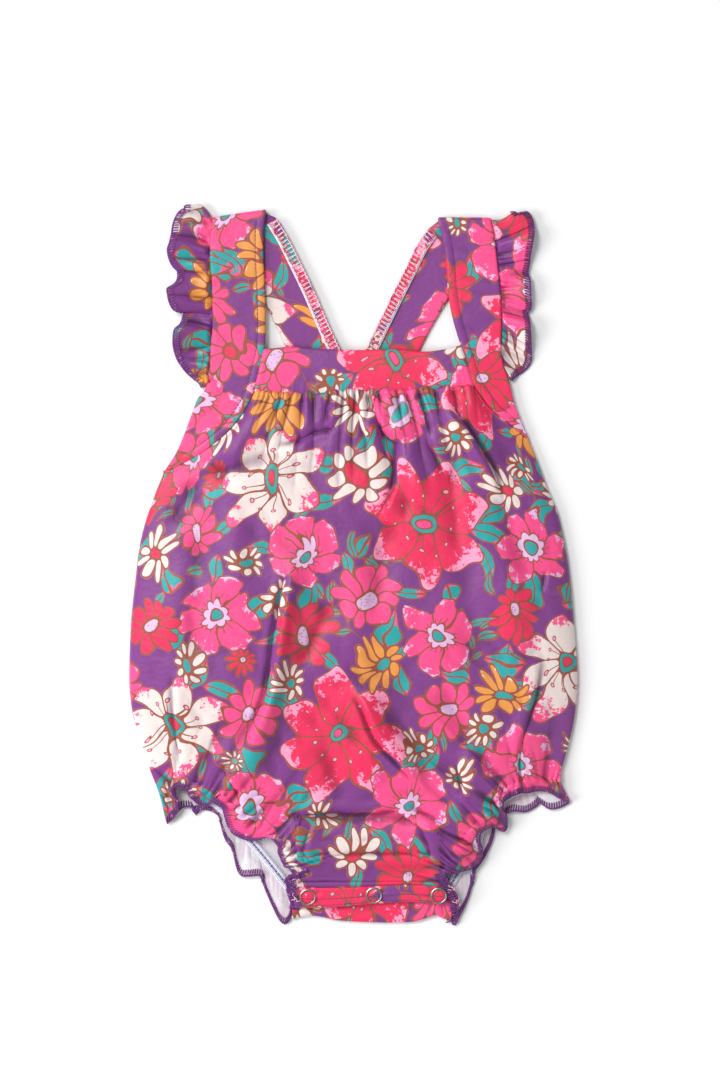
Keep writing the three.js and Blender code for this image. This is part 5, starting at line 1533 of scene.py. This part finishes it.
def stage():
    """Pale floor, soft light from the upper left and the camera straight above."""
    scene = bpy.context.scene
    mesh = bpy.data.meshes.new("floor")
    corners = ((-1, -1), (1, -1), (1, 1), (-1, 1))
    mesh.from_pydata([(FLOOR_SIZE * x, FLOOR_SIZE * y, 0) for x, y in corners], [], [(0, 1, 2, 3)])
    made, t = material("floor")
    shade(t, (0.86, 0.86, 0.865, 1.0), 0.9, Specular_IOR_Level=0.1,
          Emission_Color=(1.0, 1.0, 1.0, 1.0), Emission_Strength=0.02)
    mesh.materials.append(made)
    scene.view_settings.view_transform = "Standard"
    scene.world = bpy.data.worlds.new("world")
    scene.world.use_nodes = True
    background = scene.world.node_tree.nodes["Background"]
    background.inputs["Color"].default_value = (1.0, 1.0, 1.0, 1.0)
    background.inputs["Strength"].default_value = 0.27
    # Name, data, place in metres
    things = [("floor", mesh, (0, 0, -0.0004))]
    for name, place, width, power in (("key", (-4.4, -0.9, 2.15), 3.0, 236.0),
                                      ("softbox", (-1.7, 1.5, 3.3), 1.5, 100.0),
                                      ("fill", (1.3, -0.9, 1.8), 1.6, 10.0)):
        light = bpy.data.lights.new(name, "AREA")
        light.size = width
        light.energy = power
        things.append((name, light, place))
    view = bpy.data.cameras.new("camera")
    view.lens = LENS
    view.sensor_width = SENSOR
    view.sensor_fit = "AUTO"
    view.clip_start = 0.05
    view.clip_end = 20
    distance = PICTURE_HEIGHT * PIXEL * LENS / SENSOR
    things.append(("camera", view, (VIEW_CENTRE[0] * MM, VIEW_CENTRE[1] * MM, distance * MM)))
    made = {}
    for name, data, place in things:
        obj = bpy.data.objects.new(name, data)
        scene.collection.objects.link(obj)
        obj.location = place
        if obj.type == "LIGHT":
            obj.rotation_euler = (-Vector(place)).to_track_quat("-Z", "Y").to_euler()
        made[name] = obj
    # The low key light models the folds. Its mirror image would veil the cloth from the far side
    made["key"].visible_glossy = False
    scene.camera = made["camera"]


stage()
front_edges = front()
back_edges = back()
bib()
left = strap(-1, STRAP_LEFT_OUTER, STRAP_LEFT_INNER, BACK_LEFT_OUTER, BACK_LEFT_INNER, (60.0, 60.0))
right = strap(1, STRAP_RIGHT_OUTER, STRAP_RIGHT_INNER, BACK_RIGHT_OUTER, BACK_RIGHT_INNER, (140.0, 60.0))
left_edges = ruffle(-1, STRAP_LEFT_OUTER, BACK_LEFT_OUTER, RUFFLE_LEFT, UNDER_LEFT, CREST_LEFT, (220.0, 80.0))
right_edges = ruffle(1, STRAP_RIGHT_OUTER, BACK_RIGHT_OUTER, RUFFLE_RIGHT, UNDER_RIGHT, CREST_RIGHT,
                     (320.0, 90.0))
placket = placket_front()
placket_back()
serged_seam(-1, BACK_LEFT_INNER, (500.0, 100.0))
serged_seam(1, BACK_RIGHT_INNER, (540.0, 300.0))
casing("elastic_left", BACK_ELASTIC_LEFT[2:-1])
casing("elastic_right", BACK_ELASTIC_RIGHT[1:-2])
EDGES = ("front_left", "front_right", "back_left", "back_right", "ruffle_left", "ruffle_right")
for name, edges in zip(EDGES, front_edges + back_edges + left_edges + right_edges):
    overlock(name + "_overlock", *edges)
for name, (points, towards, width) in PLACKET_ENDS.items():
    placket_end(name, points, towards, width)
loose_threads("left_threads", [(-32.6, -184.4, 10.2), (-34.4, -194.6, 9.0)], 5)
loose_threads("right_threads", [(57.8, -188.6, 9.9), (60.4, -196.6, 7.4)], 9)
stitches("topstitch_left", left, TOPSTITCH, 0.17)
stitches("topstitch_right", right, TOPSTITCH, 0.17)
for k, row in enumerate((12, 18)):
    stitches(f"topstitch_placket_{k}", placket[row, 4:-4], TOPSTITCH, 0.2)
for number, centre in enumerate(SNAP_CENTRES, 1):
    ring(number, centre)
